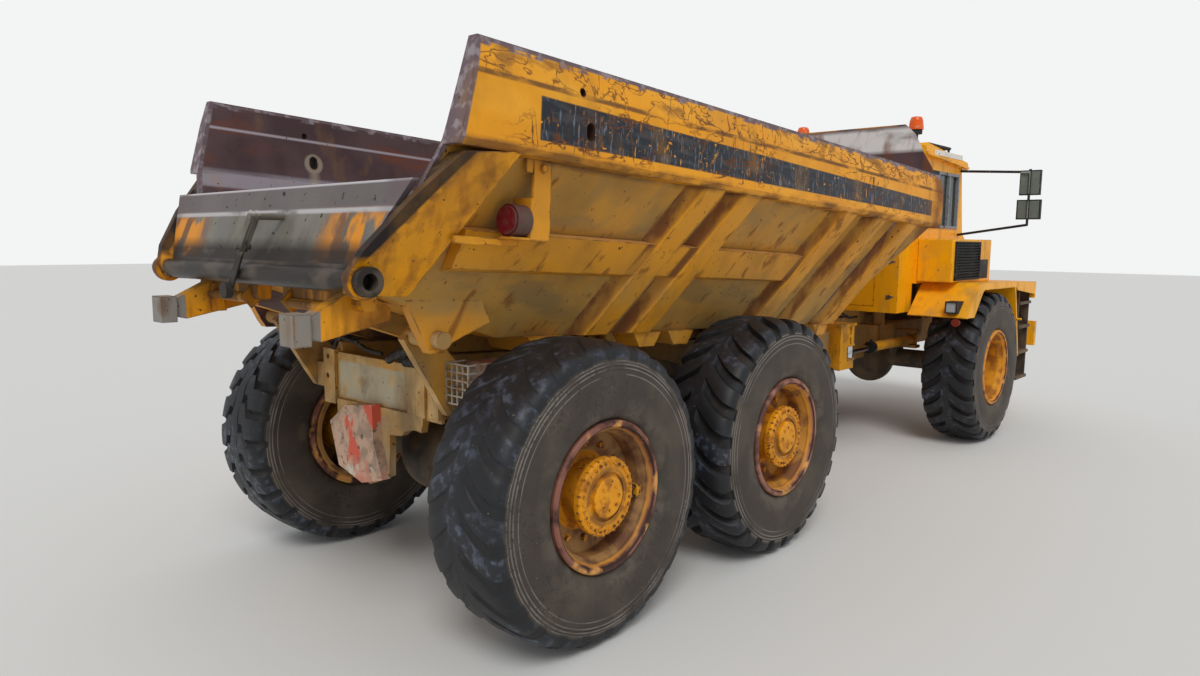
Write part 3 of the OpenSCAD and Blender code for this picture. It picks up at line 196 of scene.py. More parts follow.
def coated(name, base, rough, coats, metal=0.0, grain=160.0, relief=0.12, shine=0.3):
    """A surface under coats, each a mask, a hex colour and a roughness, laid in the order that coats() gives.
    The grain is per metre."""
    look = bpy.data.materials.new(name)
    look.use_nodes = True
    tree = look.node_tree
    shader = tree.nodes["Principled BSDF"]
    places = add(tree, "ShaderNodeTexCoord").node.outputs
    spot = places["Object"]
    colour, gloss = base, rough
    for mask, tint, finish in coats(spot, places["Normal"]):
        colour = add(tree, "ShaderNodeMix", {0: mask, 6: colour, 7: tint}, data_type="RGBA")
        gloss = add(tree, "ShaderNodeMix", {0: mask, 2: gloss, 3: finish})
    tree.links.new(colour, shader.inputs["Base Color"])
    tree.links.new(gloss, shader.inputs["Roughness"])
    shader.inputs["Metallic"].default_value = metal
    shader.inputs["Specular IOR Level"].default_value = shine
    noise = add(tree, "ShaderNodeTexNoise", {"Vector": spot, "Scale": grain, "Detail": 3.0})
    bump = add(tree, "ShaderNodeBump", {"Height": noise, "Strength": relief, "Distance": 0.003})
    tree.links.new(bump, shader.inputs["Normal"])
    return look


def weather(spot, normal, dirt, rust, grime, rusting, chips=0.5):
    """Coats that years outdoors leave: dust low down and on top faces, runs, rust spots and bare edges."""
    low_down = all_of(rise(axes(spot)[2], 1.9, 0.6), 0.55, operation="ADD")
    dust = cloud(spot, 5, 8, 0.62 - 0.3 * grime, 0.86 - 0.2 * grime, (1, 1, 0.6), (3, 1, 0))
    facing_up = rise(axes(normal)[2], 0.5, 0.95)
    lying = all_of(facing_up, cloud(spot, 9, 6, 0.3, 0.62), 0.55 * grime + 0.2)
    runs = cloud(spot, 7, 6, 0.60, 0.74, (1, 1, 0.14), (0, 5, 2))
    spots = cloud(spot, 3.1, 10, 0.63 - 0.1 * rusting, 0.72 - 0.1 * rusting, place=(9, 0, 4))
    rusty = any_of(all_of(runs, rusting + 0.15), all_of(spots, 1.2 * rusting))
    rounded = add(spot, "ShaderNodeBevel", {"Radius": 0.012}, samples=4)
    flat = add(spot, "ShaderNodeNewGeometry").node.outputs["Normal"]
    edge = all_of(rise(along_axis(rounded, flat), 0.995, 0.93), cloud(spot, 14, 6, 0.56 - 0.2 * chips, 0.62))
    flecks = cloud(spot, 38, 4, 0.70 - 0.04 * chips, 0.74, place=(2, 7, 1))
    return [(all_of(dust, low_down), dirt, 0.8), (lying, dirt, 0.85), (rusty, rust, 0.8),
            (flecks, "#3f2a22", 0.8), (edge, "#5a3a2c", 0.7)]


def in_body_frame(spot):
    """A place in the dump body's own frame: x along its floor from the kink, z square to it."""
    kink, lean = (-3.421, 0, 1.465), (0, math.radians(2.7), 0)
    return add(spot, "ShaderNodeMapping", {"Vector": spot, "Location": kink, "Rotation": lean},
               vector_type="TEXTURE")


# Foot of each slanted rib: the x where its line down the side meets the level of the floor
RIB_FEET = (0.64, 1.02, 2.28, 2.78, 3.35)


def body_coats(spot, normal):
    own = in_body_frame(spot)
    x, y, z = axes(own)
    nx, ny, nz = axes(normal)
    away = all_of(ny, add(y, "ShaderNodeMath", {0: y}, operation="SIGN"))
    outward = rise(away, 0.25, 0.35)
    wide = size_of(y)
    slope = all_of(all_of(z, -0.567), wide, operation="ADD")
    between = rise(slope, 0.715, 0.70)
    floor_in = all_of(rise(nz, 0.6, 0.75), rise(z, 1.16, 1.14), between)
    front_in = all_of(rise(nx, -0.5, -0.6), rise(x, 3.2, 3.3), any_of(between, rise(z, 0.83, 0.85)))
    inside = any_of(all_of(rise(away, -0.2, -0.3), rise(z, 1.26, 1.24)), floor_in, front_in)
    streak = cloud(own, 6, 5, 0.5, 0.72, (0.3, 1, 1), (4, 0, 0))
    coats = [(cloud(spot, 1.3, 3, 0.42, 0.66), "#dd9215", 0.4), (all_of(streak, 0.5), "#f5b335", 0.35)]
    # Sloping side under the rail, painted darker as shade since it faces down: duller ochre, partly grey dust,
    # a painted shadow beside each rib, rust beside the ribs and a painted highlight on top of the stiffener
    below_rail = rise(z, 0.83, 0.81)
    low_side = all_of(below_rail, outward)
    leaning = add(own, "ShaderNodeMapping", {"Vector": own, "Rotation": (0, math.radians(-27.3), 0)})
    fall = cloud(leaning, 7, 8, 0.42, 0.64, (1, 1, 0.12), (2, 0, 8))
    off_rib = rise(slope, 0.745, 0.72)
    floor_dirt = cloud(own, 1.7, 6, 0.4, 0.6, place=(8, 1, 0))
    sill_dirt = cloud(own, 2.6, 8, 0.36, 0.56)
    smudge = cloud(own, 2.3, 7, 0.52, 0.62, (0.8, 1, 2.2), (7, 3, 1))
    along = add(z, "ShaderNodeMath", {0: z, 1: -0.515, 2: x}, operation="MULTIPLY_ADD")
    beside = any_of(*[within(along, foot - 0.16, foot - 0.085, 0.014) for foot in RIB_FEET])
    # Band beside each rib where its shadow falls, painted as shade
    shaded = any_of(*[within(along, foot - 0.155, foot - 0.08) for foot in RIB_FEET])
    rib_rust = cloud(leaning, 6, 8, 0.44, 0.56, (1, 1, 0.16), (4, 2, 3))
    # Upward-facing top of the stiffener, painted pale as a highlight
    ledge_highlight = all_of(within(z, 0.485, 0.53), rise(nz, 0.4, 0.7), rise(slope, 0.70, 0.72))
    runs = cloud(leaning, 13, 7, 0.60, 0.68, (1, 1, 0.07), (1, 2, 3))
    # Painted shade: the darker ochre under the rail and the #9c6f2a patches; the duller, greyer tones between
    # the ribs are partly painted shade and partly dust
    coats += [(all_of(below_rail, 0.5), "#c98a1c", 0.5), (all_of(low_side, off_rib, 0.6), "#b98a3c", 0.55),
              (all_of(low_side, off_rib, fall, 0.7), "#a08048", 0.65),
              (all_of(low_side, cloud(own, 2.2, 8, 0.5, 0.66), 0.5), "#9c6f2a", 0.65),
              (all_of(rise(z, 0.45, 0.2), floor_dirt, 0.5), "#a38a58", 0.7),
              (all_of(rise(z, 0.34, 0.2), outward, off_rib, sill_dirt, 0.7), "#b9924e", 0.7),
              (all_of(rise(z, 0.8, 0.6), outward, off_rib, smudge, 0.5), "#77694d", 0.65),
              (all_of(low_side, shaded, 0.5), "#a06c22", 0.65),
              (all_of(low_side, beside, rib_rust, 0.85), "#6b3a1c", 0.8), (ledge_highlight, "#e9b068", 0.5),
              (all_of(low_side, runs, 0.7), "#7a4720", 0.8)]
    # Stripe along the side, its film scratched and dripped over
    start, end = -0.26, 4.08
    below = rise(all_of(z, rise(x, start, end, 1.063, 1.017), operation="SUBTRACT"), 0.003, -0.003)
    above = rise(all_of(z, rise(x, start, end, 0.883, 0.897), operation="SUBTRACT"), -0.003, 0.003)
    drips = cloud(own, 60, 6, 0.64, 0.67, (1, 1, 0.2), (3, 0, 7))
    chips = cloud(own, 34, 8, 0.66, 0.69, (0.6, 1, 1), (8, 2, 2))
    torn = any_of(all_of(drips, cloud(own, 5, 3, 0.4, 0.6, (1, 1, 0.2))), chips)
    stripe = all_of(below, above, within(x, start, end), outward)
    film = all_of(stripe, add(torn, "ShaderNodeMath", {0: 1.0, 1: torn}, operation="SUBTRACT"))
    cuts = all_of(scratches(own, 7, 0.006, (1, 1, 0.6), (2, 8, 8)), cloud(own, 2.4, 4, 0.5, 0.6))
    coats += [(film, "#23282f", 0.4),
              (all_of(film, cloud(own, 30, 6, 0.5, 0.66, (0.2, 1, 1)), 0.7), "#45474a", 0.5),
              (all_of(film, cloud(own, 75, 5, 0.58, 0.66, (1, 1, 0.18), (6, 1, 2)), 0.8), "#6f7683", 0.5),
              (all_of(stripe, cuts), "#d08c2c", 0.5)]
    # Scratches and rust of the upper band and the rail's ends, and along the rail's fold a dark line that is
    # rust and painted shadow
    curls = any_of(scratches(own, 4.5, 0.012, (0.35, 1, 1.3)),
                   scratches(own, 7, 0.011, (0.5, 1, 1), (5, 0, 2)),
                   scratches(own, 3, 0.008, (1.6, 1, 0.5), (1, 6, 2)))
    worn = any_of(cloud(own, 1.9, 6, 0.42, 0.56, (0.6, 1, 1), (2, 0, 5)), all_of(rise(z, 1.10, 1.13), 0.85))
    # Dark line along the fold: rust with a painted shadow
    crease_shadow_and_rust = all_of(within(z, 1.094, 1.116), cloud(own, 11, 7, 0.36, 0.5, (0.4, 1, 1)))
    foot = all_of(within(z, 0.80, 0.852, 0.01), cloud(own, 8, 7, 0.44, 0.58, (0.4, 1, 1), (7, 0, 0)))
    dents = all_of(rise(z, 1.10, 1.16), cloud(own, 6, 9, 0.56, 0.62, (0.5, 1, 1), (6, 3, 0)))
    front = all_of(rise(x, 3.9, 4.2), cloud(own, 3.5, 8, 0.36, 0.56, place=(1, 9, 0)))
    coats += [(all_of(outward, rise(z, 0.84, 0.87), curls, worn), "#6b3f22", 0.7),
              (all_of(crease_shadow_and_rust, 0.8), "#4e3328", 0.7), (all_of(foot, 0.7), "#5d3b26", 0.8),
              (all_of(dents, 0.75), "#8a5b2c", 0.75), (all_of(front, 0.85), "#7c4b2a", 0.8)]
    # Scoured inside: dark oxide with a paler fold, rings of old stains and a scraped band at the rail's foot
    hole = away_from((0.045, 0.952), x, z)
    peg_hole = away_from((-0.013, 1.121), x, z)
    ring = any_of(all_of(within(hole, 0.03, 0.062, 0.006), 0.7),
                  all_of(within(x, 0.02, 0.075, 0.02), within(z, 0.80, 0.94, 0.02), 0.6))
    scraped = all_of(within(z, 0.745, 0.855, 0.008), cloud(own, 9, 5, 0.3, 0.5, (0.1, 1, 1)))
    foot_wear = all_of(rise(z, 0.5, 0.1), cloud(own, 4, 6, 0.45, 0.6, (0.2, 1, 1)))
    coats.append((inside, "#4a3638", 0.6))
    for mask, colour, finish in (
            (cloud(own, 2.1, 8, 0.45, 0.62), "#5c4647", 0.65),
            (cloud(own, 5, 8, 0.56, 0.7, (0.3, 1, 1), (4, 4, 4)), "#74402e", 0.75),
            (within(z, 1.085, 1.10), "#a79da3", 0.5), (scraped, "#8b8389", 0.5), (foot_wear, "#7d7376", 0.5),
            (ring, "#a89a86", 0.8)):
        coats.append((all_of(inside, mask), colour, finish))
    # Rims of the plate, top of the rails and open rear edge, knocked bare, and the dark bores of the holes
    edge_x = rise(z, 0.23, 1.24, -0.8, -0.59, clamp=False)
    rear = rise(all_of(x, edge_x, operation="SUBTRACT"), 0.026, 0.018)
    upper = any_of(rise(z, 1.218, 1.224), all_of(rise(z, 1.2, 1.21), cloud(own, 9, 7, 0.5, 0.56)))
    bare = any_of(all_of(upper, rise(wide, 1.0, 1.1)), all_of(rear, rise(wide, 0.72, 0.76)))
    near_hole = any_of(rise(hole, 0.075, 0.07), rise(peg_hole, 0.032, 0.028))
    bore = all_of(rise(size_of(away), 0.5, 0.3), near_hole)
    coats += [(bare, "#6b5a5e", 0.55), (all_of(bare, cloud(own, 20, 6, 0.5, 0.62)), "#93878b", 0.45),
              (bore, "#24160f", 0.8)]
    return coats + weather(spot, normal, "#a87a34", "#6e4425", 0.2, 0.05, 0.7)


body_paint = coated("body_enamel", "#f0a010", 0.42, body_coats)
dress(["body_shell", "body_ribs", "floor_frame"], body_paint)


# Rear posts and stop beam: heavier plate in the same enamel, with a dark rubber seal along the posts' inner
# edge and grey pads on the arms where they meet the frame.
def post_coats(spot, normal):
    x, y, z = axes(spot)
    facing_back = rise(axes(normal)[0], -0.4, -0.6)
    in_from_edge = along_axis(spot, (0.775, 0, -0.632))
    seal = all_of(rise(in_from_edge, -4.512, -4.522), rise(z, 1.84, 1.88), rise(x, -3.9, -3.93))
    rubbed = all_of(rise(in_from_edge, -4.47, -4.52), cloud(spot, 11, 8, 0.42, 0.54, place=(3, 3, 1)), 0.8)
    pads = all_of(within(x, -4.56, -4.352, 0.002), within(z, 1.505, 1.65, 0.002),
                  within(size_of(y), 0.62, 0.75, 0.002))
    coats = [(cloud(spot, 2.3, 6, 0.42, 0.6), "#d48e15", 0.45),
             (all_of(cloud(spot, 12, 8, 0.5, 0.62, (1, 1, 0.25)), 0.6), "#9c5f1e", 0.7),
             (rubbed, "#6b4426", 0.75),
             (all_of(facing_back, cloud(spot, 9, 6, 0.35, 0.5, (1, 1, 0.3)), 0.8), "#3a2a24", 0.7),
             (seal, "#241d1b", 0.55), (pads, "#8a867e", 0.7)]
    return coats + weather(spot, normal, "#9a6f2e", "#65401f", 0.45, 0.5, 0.9)


dress(["rear_posts", "stop_arms"], coated("post_enamel", "#eb9d10", 0.42, post_coats))


# Tailgate and its latch strap: bare grey plate, yellow only where the enamel still holds low at both ends,
# pale along the top edge and black with grease at the foot, on a dark polished tube.
def gate_coats(spot, normal):
    x, y, z = axes(spot)
    wide = size_of(y)
    streaks = cloud(spot, 7, 6, 0.48, 0.62, (1, 1, 0.15), (1, 3, 0))
    corner = all_of(rise(wide, 0.52, 0.72), rise(z, 2.08, 2.03), rise(z, 1.83, 1.88))
    rusting = cloud(spot, 5, 8, 0.42, 0.5, (1, 1, 0.3), (5, 5, 0))
    left_on = all_of(corner, cloud(spot, 6, 8, 0.46, 0.52, (1, 1, 0.35), (0, 1, 9)))
    foot = all_of(rise(z, 1.95, 1.89), cloud(spot, 9, 7, 0.22, 0.42, (1, 0.4, 1)))
    fold = all_of(within(z, 2.052, 2.072), cloud(spot, 8, 4, 0.35, 0.5, (1, 0.3, 1)))
    tube = rise(away_from((-4.311, 1.78), x, z), 0.066, 0.062)
    return [(cloud(spot, 2.4, 8, 0.42, 0.62), "#655f52", 0.55), (all_of(streaks, 0.5), "#8b867a", 0.5),
            (all_of(rise(z, 2.06, 2.07), 0.7), "#685f60", 0.5),
            (cloud(spot, 24, 6, 0.66, 0.7), "#2f2a27", 0.7), (all_of(corner, rusting, 0.85), "#8a5a34", 0.75),
            (left_on, "#e08f1c", 0.5), (fold, "#b9b4b3", 0.45), (rise(z, 2.168, 2.174), "#c2bdbf", 0.45),
            (all_of(rise(wide, 0.93, 1.0), rise(z, 2.0, 2.12), 0.6), "#6b5a5e", 0.6),
            (all_of(foot, 0.9), "#29211d", 0.6), (tube, "#2b241e", 0.4),
            (all_of(tube, cloud(spot, 9, 7, 0.5, 0.62, (1, 0.5, 1))), "#544a3f", 0.45)]


dress(["tailgate", "gate_link"], coated("worn_gate_plate", "#77736b", 0.5, gate_coats, metal=0.15))


# Spill guard on the front of the body: welded plate, scoured dark by the load, with a pale band of painted sky
# light near its top edge. Its front face keeps the yellow enamel.
def guard_coats(spot, normal):
    up = axes(in_body_frame(spot))[2]
    front_face = rise(axes(normal)[0], 0.2, 0.5)
    # Pale band near the top: painted light, the sky caught on the upper fold
    pale = all_of(within(up, 1.46, 1.67, 0.02), cloud(spot, 5, 7, 0.3, 0.5, (1, 0.5, 1)))
    rim = all_of(rise(up, 1.68, 1.695), cloud(spot, 7, 6, 0.4, 0.5))
    return [(cloud(spot, 3, 7, 0.42, 0.62), "#5c4647", 0.65), (all_of(pale, 0.85), "#d8d2cd", 0.5),
            (all_of(cloud(spot, 6, 7, 0.5, 0.65, (1, 1, 0.2)), 0.8), "#74452c", 0.75),
            (front_face, "#d9921a", 0.5), (all_of(front_face, cloud(spot, 4, 8, 0.48, 0.6)), "#8a5a2a", 0.7),
            (rim, "#a8702a", 0.7)]


dress(["spill_guard"], coated("scoured_plate", "#4a3638", 0.6, guard_coats))


# Tail lamps: moulded red lens, ribbed across its rear face, in a steel housing under dust. The ribs are colour
# only, as they are too fine to model.
def lens_coats(spot, normal):
    nx = axes(normal)[0]
    ribs = rise(stripes(axes(spot)[1], 900.0), 0.2, 0.8)
    return [(all_of(ribs, rise(nx, -0.8, -0.95), 0.55), "#5c1018", 0.3),
            (all_of(rise(nx, -0.6, -0.3), 0.9), "#5a4a40", 0.6),
            (all_of(cloud(spot, 30, 6, 0.5, 0.66), 0.8), "#5f3b38", 0.7)]


dress(["tail_lamps"], coated("ribbed_red_lens", "#6d1622", 0.25, lens_coats, grain=90.0, relief=0.05))


# Frames, brackets and bogie beams: plate and castings in ochre enamel under years of road dirt. The rear end
# is beige with dust, and the tow plate on it grey-green.
def frame_coats(spot, normal):
    x, y, z = axes(spot)
    end = rise(x, -3.60, -3.63)
    plate = all_of(end, within(y, -0.32, 0.34, 0.006), within(z, 1.07, 1.27, 0.006))
    dusty = all_of(end, rise(axes(normal)[0], -0.5, -0.8), cloud(spot, 5, 8, 0.36, 0.56))
    low = all_of(end, rise(z, 1.04, 1.0), cloud(spot, 4, 8, 0.46, 0.6, place=(2, 2, 2)))
    bearing = all_of(rise(x, 0.35, 0.4), rise(size_of(y), 0.46, 0.44))
    coats = [(cloud(spot, 1.8, 5, 0.4, 0.62), "#b0863f", 0.6), (all_of(dusty, 0.75), "#dcbd88", 0.75),
             (all_of(plate, cloud(spot, 9, 7, 0.32, 0.46), 0.85), "#b9b49c", 0.7),
             (all_of(low, 0.6), "#b8a58c", 0.75), (all_of(bearing, 0.3), "#8a6a3a", 0.6)]
    return coats + weather(spot, normal, "#8f7550", "#5e4128", 0.8, 0.45, 0.8)


dress(["frame_rear", "frame_brackets", "bogie_beams", "frame_front"],
      coated("frame_enamel", "#c8913a", 0.6, frame_coats))


# Casting on the tow plate: rough grey iron from a sand mould, with the last of a red undercoat and a film of
# dry clay.
def casting_coats(spot, normal):
    red = cloud(spot, 5.5, 9, 0.52, 0.58, (1, 1, 0.7), (1, 0, 6))
    upper = all_of(rise(axes(spot)[2], 0.74, 0.82), 0.45, operation="ADD")
    return [(cloud(spot, 14, 6, 0.45, 0.6), "#a68c78", 0.75), (all_of(red, upper, 0.9), "#d9604a", 0.6),
            (cloud(spot, 26, 6, 0.60, 0.66), "#766450", 0.8), (cloud(spot, 9, 8, 0.6, 0.68), "#d3c6b4", 0.8)]


dress(["tow_casting"], coated("grey_iron_casting", "#c9a78e", 0.75, casting_coats, relief=0.4, grain=70.0))


# Valve box and its guard of welded, galvanised wire, bolted into the frame's end. The box behind the wire is
# red-brown with oxide.
def wire_coats(spot, normal):
    x = axes(spot)[0]
    return [(rise(x, -3.56, -3.54), "#7d4b3a", 0.75), (cloud(spot, 18, 6, 0.5, 0.62), "#8a6a58", 0.75)]


dress(["valve_box"], coated("galvanised_wire", "#aca595", 0.55, wire_coats, metal=0.3))


# Axles, shafts, engine, exhaust, steps and hoist barrels: cast iron and drawn tube with a dark, oily coat that
# holds the dust.
def iron_coats(spot, normal):
    coats = [(cloud(spot, 2.5, 6, 0.42, 0.6), "#3d3733", 0.5),
             (all_of(cloud(spot, 7, 8, 0.44, 0.6), 0.7), "#6d5a42", 0.8)]
    return coats + weather(spot, normal, "#75624a", "#4a3022", 0.6, 0.35, 0.4)


dress(["rear_axles", "rear_shaft", "front_axle", "engine_block", "exhaust", "steps", "hoist_barrels"],
      coated("oily_cast_iron", "#4b423a", 0.5, iron_coats))


# Hitch and steering cylinders: welded box and drawn tube in brighter enamel, wiped by hands and oil. The
# cylinders end in black glands.
def hitch_coats(spot, normal):
    coats = [(cloud(spot, 2.1, 5, 0.4, 0.62), "#d79519", 0.45),
             (all_of(cloud(spot, 6, 7, 0.52, 0.62), 0.6), "#8a5f2c", 0.75)]
    return coats + weather(spot, normal, "#a07a40", "#5e4128", 0.5, 0.25, 0.6)


def barrel_coats(spot, normal):
    return hitch_coats(spot, normal) + [(rise(axes(spot)[0], 1.566, 1.56), "#17181a", 0.5)]


dress(["hitch_yoke"], coated("hitch_enamel", "#eba31c", 0.45, hitch_coats))
dress(["steer_barrel_l", "steer_barrel_r"], coated("barrel_enamel", "#eba31c", 0.42, barrel_coats))


# Piston rods of the hoist and the steering: steel, ground, hard-chromed and polished, with a film of oil and
# dust.
def chrome_coats(spot, normal):
    return [(cloud(spot, 16, 5, 0.5, 0.7), "#8f8a80", 0.35)]


dress(["hoist_rods", "steer_rod_l", "steer_rod_r"],
      coated("hard_chrome", "#cfd2d6", 0.14, chrome_coats, metal=1.0, relief=0.02))


# Cab, hood, mudguards and doors: thinner pressed sheet in cleaner enamel, welded or hinged, with dust along the
# deck and the lower edges.
def cab_coats(spot, normal):
    coats = [(cloud(spot, 1.1, 4, 0.42, 0.66), "#f7aa10", 0.34),
             (all_of(cloud(spot, 8, 6, 0.56, 0.68, (1, 1, 0.2)), 0.45), "#b98328", 0.5)]
    return coats + weather(spot, normal, "#b58a45", "#7a4d25", 0.3, 0.08, 0.35)


cab_paint = coated("cab_enamel", "#ffb20a", 0.34, cab_coats)
dress(["cab_shell", "cab_roof", "mudguards", "bumper", "hood", "cab_door", "cabinet_door"], cab_paint)


# Cabinet behind the cab: folded sheet in the cab's enamel. Its right-hand lid meets the box in a seam that two
# sprung latches cross.
def cabinet_coats(spot, normal):
    x, y, z = axes(spot)
    on_side = rise(size_of(y), 0.655, 0.658)
    seam = all_of(within(x, 1.3385, 1.3435, 0.001), on_side, within(z, 1.30, 1.99, 0.002))
    grimy = all_of(within(x, 1.32, 1.36, 0.01), on_side, cloud(spot, 9, 6, 0.4, 0.6, (1, 1, 0.3)), 0.5)
    return cab_coats(spot, normal) + [(grimy, "#a8742a", 0.6), (seam, "#2a1c10", 0.8)]


dress(["cabinet"], coated("cabinet_enamel", "#ffb20a", 0.34, cabinet_coats))


# Window frames on the cab's right: extruded, anodised aluminium slides behind a black quarter panel, screwed
# to the cab's wall.
def slide_coats(spot, normal):
    x = axes(spot)[0]
    return [(rise(x, 2.336, 2.342), "#83878a", 0.4), (within(x, 2.53, 2.564, 0.002), "#1c1d1f", 0.5),
            (cloud(spot, 22, 6, 0.55, 0.7), "#5f5b52", 0.6)]


dress(["window_frames"], coated("anodised_aluminium", "#1c1d1f", 0.5, slide_coats))


# Black mouldings of the seat, console, grille, louvre, roof rails and mirrors, faded by the sun. The mirrors'
# rear faces are silvered glass, here a flat grey-green painted reflection.
def moulding_coats(spot, normal):
    return [(cloud(spot, 3, 6, 0.42, 0.6), "#2b2b2b", 0.65),
            (cloud(spot, 17, 7, 0.56, 0.68), "#55504a", 0.75)]


def mirror_coats(spot, normal):
    x, y, z = axes(spot)
    wide = size_of(y)
    head = any_of(all_of(within(wide, 1.283, 1.457, 0.001), within(z, 2.447, 2.668, 0.001)),
                  all_of(within(wide, 1.272, 1.468, 0.001), within(z, 2.207, 2.378, 0.001)))
    # Mirror glass: a painted reflection, a flat grey-green in place of what the glass would mirror
    painted_reflection = all_of(head, rise(axes(normal)[0], -0.9, -0.97), rise(x, 2.9655, 2.9645))
    clouded = all_of(painted_reflection, cloud(spot, 7, 5, 0.45, 0.6))
    return moulding_coats(spot, normal) + [(painted_reflection, "#8f9a92", 0.08), (clouded, "#6f7a70", 0.1)]


dress(["cab_seat", "cab_console", "roof_rack", "louvre", "hood_grille"],
      coated("black_moulding", "#1c1d1f", 0.55, moulding_coats, grain=400.0))
dress(["mirrors"], coated("mirror_head", "#1c1d1f", 0.5, mirror_coats, relief=0.03))


# Work lamps on the mudguards: moulded black housing with a prismatic lens in its pocket, and a small red-brown
# lamp below.
def lamp_coats(spot, normal):
    y, z = axes(spot)[1:]
    wide = size_of(y)
    facing_back = rise(axes(normal)[0], -0.9, -0.97)
    pocket = all_of(within(wide, 1.067, 1.153, 0.001), within(z, 1.317, 1.403, 0.001), facing_back)
    small_lamp = rise(away_from((1.15, 1.222), wide, z), 0.037, 0.0365)
    return moulding_coats(spot, normal) + [
        (pocket, "#b9bfc1", 0.15), (all_of(pocket, rise(stripes(y, 700.0), 0, 0.6)), "#8b9193", 0.2),
        (small_lamp, "#7a2f22", 0.35)]


dress(["work_lamps"], coated("lamp_housing", "#1c1d1f", 0.5, lamp_coats, relief=0.05))


# Beacons and head lamps: clear orange domes, moulded with fine rings, and pressed glass lenses with upright
# flutes.
def dome_coats(spot, normal):
    rings = rise(stripes(axes(spot)[2], 520.0), 0.3, 0.9)
    return [(all_of(rings, 0.45), "#b93a10", 0.25), (cloud(spot, 25, 5, 0.6, 0.72), "#c9a88a", 0.6)]


def headlamp_coats(spot, normal):
    flutes = rise(stripes(axes(spot)[1], 420.0), 0, 0.8)
    return [(flutes, "#aab2b5", 0.12), (cloud(spot, 18, 6, 0.55, 0.7), "#8a7f6c", 0.6)]


dress(["lamps"], coated("clear_orange_dome", "#f0641a", 0.2, dome_coats, relief=0.03))
dress(["head_lamps"], coated("fluted_lens", "#d5dadc", 0.08, headlamp_coats, relief=0.03))


# Cab glass: clear float glass, slightly green, bonded into its frames. A film of dust dulls it in patches.
glass = bpy.data.materials.new("clear_float_glass")
glass.use_nodes = True
pane = glass.node_tree.nodes["Principled BSDF"]
pane.inputs["Base Color"].default_value = srgb("#7c8886")
pane.inputs["Transmission Weight"].default_value = 0.92
pane.inputs["IOR"].default_value = 1.45
pane_spot = add(glass.node_tree, "ShaderNodeTexCoord").node.outputs["Object"]
pane_rough = rise(cloud(pane_spot, 6, 6, 0.4, 0.75), 0.0, 1.0, 0.02, 0.22)
glass.node_tree.links.new(pane_rough, pane.inputs["Roughness"])
dress(["cab_glass", "door_glass"], glass)


# Rims: welded steel in orange enamel, flanges rubbed to a pink-brown rust, on hubs with a notched ring of
# bolts. Each axle has the colour and the rust of its flanges, then those of its bowls.
WHEELS = ("rl", "rr", "ml", "mr", "fl", "fr")
axle_x = {"r": -3.221, "m": -1.551, "f": 2.519}
AXLE_Z = 0.74
rim_colours = {"r": ("#8a5a4a", "#4b2e27", "#96744a", "#6f4b33"),
               "m": ("#9c6b5a", "#5f3d33", "#b9802f", "#7d5230"),
               "f": ("#d98f34", "#94603c", "#d8941f", "#a3661f")}


def rim_look(axle):
    flange_colour, flange_rust, bowl_colour, bowl_rust = rim_colours[axle]

    def coats(spot, normal):
        x, _, z = axes(spot)
        away = away_from((axle_x[axle], AXLE_Z), x, z)
        flange = rise(away, 0.325, 0.335)
        bowl = within(away, 0.195, 0.325)
        hub = rise(away, 0.2, 0.19)
        bolt_ring = all_of(within(away, 0.100, 0.142, 0.006), cloud(spot, 8, 7, 0.34, 0.5), 0.8)
        return [(cloud(spot, 4, 6, 0.42, 0.62), "#d08a1c", 0.5), (all_of(bowl, 0.9), bowl_colour, 0.6),
                (all_of(bowl, cloud(spot, 7, 8, 0.44, 0.58, place=(3, 0, 3))), bowl_rust, 0.75),
                (flange, flange_colour, 0.6),
                (all_of(flange, cloud(spot, 9, 7, 0.46, 0.6)), flange_rust, 0.7),
                (within(away, 0.336, 0.344, 0.002), "#3a2620", 0.7),
                (all_of(flange, cloud(spot, 6, 7, 0.58, 0.66, place=(6, 6, 0))), "#d79a52", 0.6),
                (all_of(hub, cloud(spot, 14, 7, 0.5, 0.62)), "#b3701c", 0.6),
                (all_of(hub, cloud(spot, 24, 6, 0.66, 0.7, place=(1, 5, 0))), "#5f3d26", 0.75),
                (bolt_ring, "#7d5428", 0.75), (cloud(spot, 30, 5, 0.70, 0.74), "#4a3226", 0.8)]
    return coated("rim_enamel_" + axle, "#e79a12", 0.48, coats)


rim_looks = {axle: rim_look(axle) for axle in axle_x}
for corner in WHEELS:
    dress(["rim_" + corner], rim_looks[corner[0]])


# Ring of bolts, made by Geometry Nodes: hexagon heads on a circle, each turned its own way, in the rims'
# enamel with rust on the heads.
def node_group(name, inputs):
    """Empty group; gives it, the identifier of each input by its label, and the inputs' sockets inside."""
    group = bpy.data.node_groups.new(name, "GeometryNodeTree")
    keys = {}
    for label, kind in inputs.items():
        socket = group.interface.new_socket(label, in_out="INPUT", socket_type="NodeSocket" + kind)
        keys[label] = socket.identifier
    group.interface.new_socket("Shape", in_out="OUTPUT", socket_type="NodeSocketGeometry")
    return group, keys, group.nodes.new("NodeGroupInput").outputs


def repeat_on(points, part, turn, finish):
    """Ends a group: the part on every point, as real geometry in its finish."""
    places = {"Points": points, "Instance": part, "Rotation": turn}
    placed = add(points, "GeometryNodeInstanceOnPoints", places)
    real = add(points, "GeometryNodeRealizeInstances", {0: placed})
    finished = add(points, "GeometryNodeSetMaterial", {"Geometry": real, "Material": finish})
    add(points, "NodeGroupOutput", {0: finished})


def grown(group, keys, values):
    """Plain mesh that a group makes from its inputs' values."""
    holder = bpy.data.objects.new("holder", bpy.data.meshes.new("holder"))
    bpy.context.scene.collection.objects.link(holder)
    modifier = holder.modifiers.new("grown", "NODES")
    modifier.node_group = group
    for label, value in values.items():
        modifier[keys[label]] = value
    bpy.context.view_layer.update()
    mesh = bpy.data.meshes.new_from_object(holder.evaluated_get(bpy.context.evaluated_depsgraph_get()))
    bpy.data.objects.remove(holder)
    return mesh


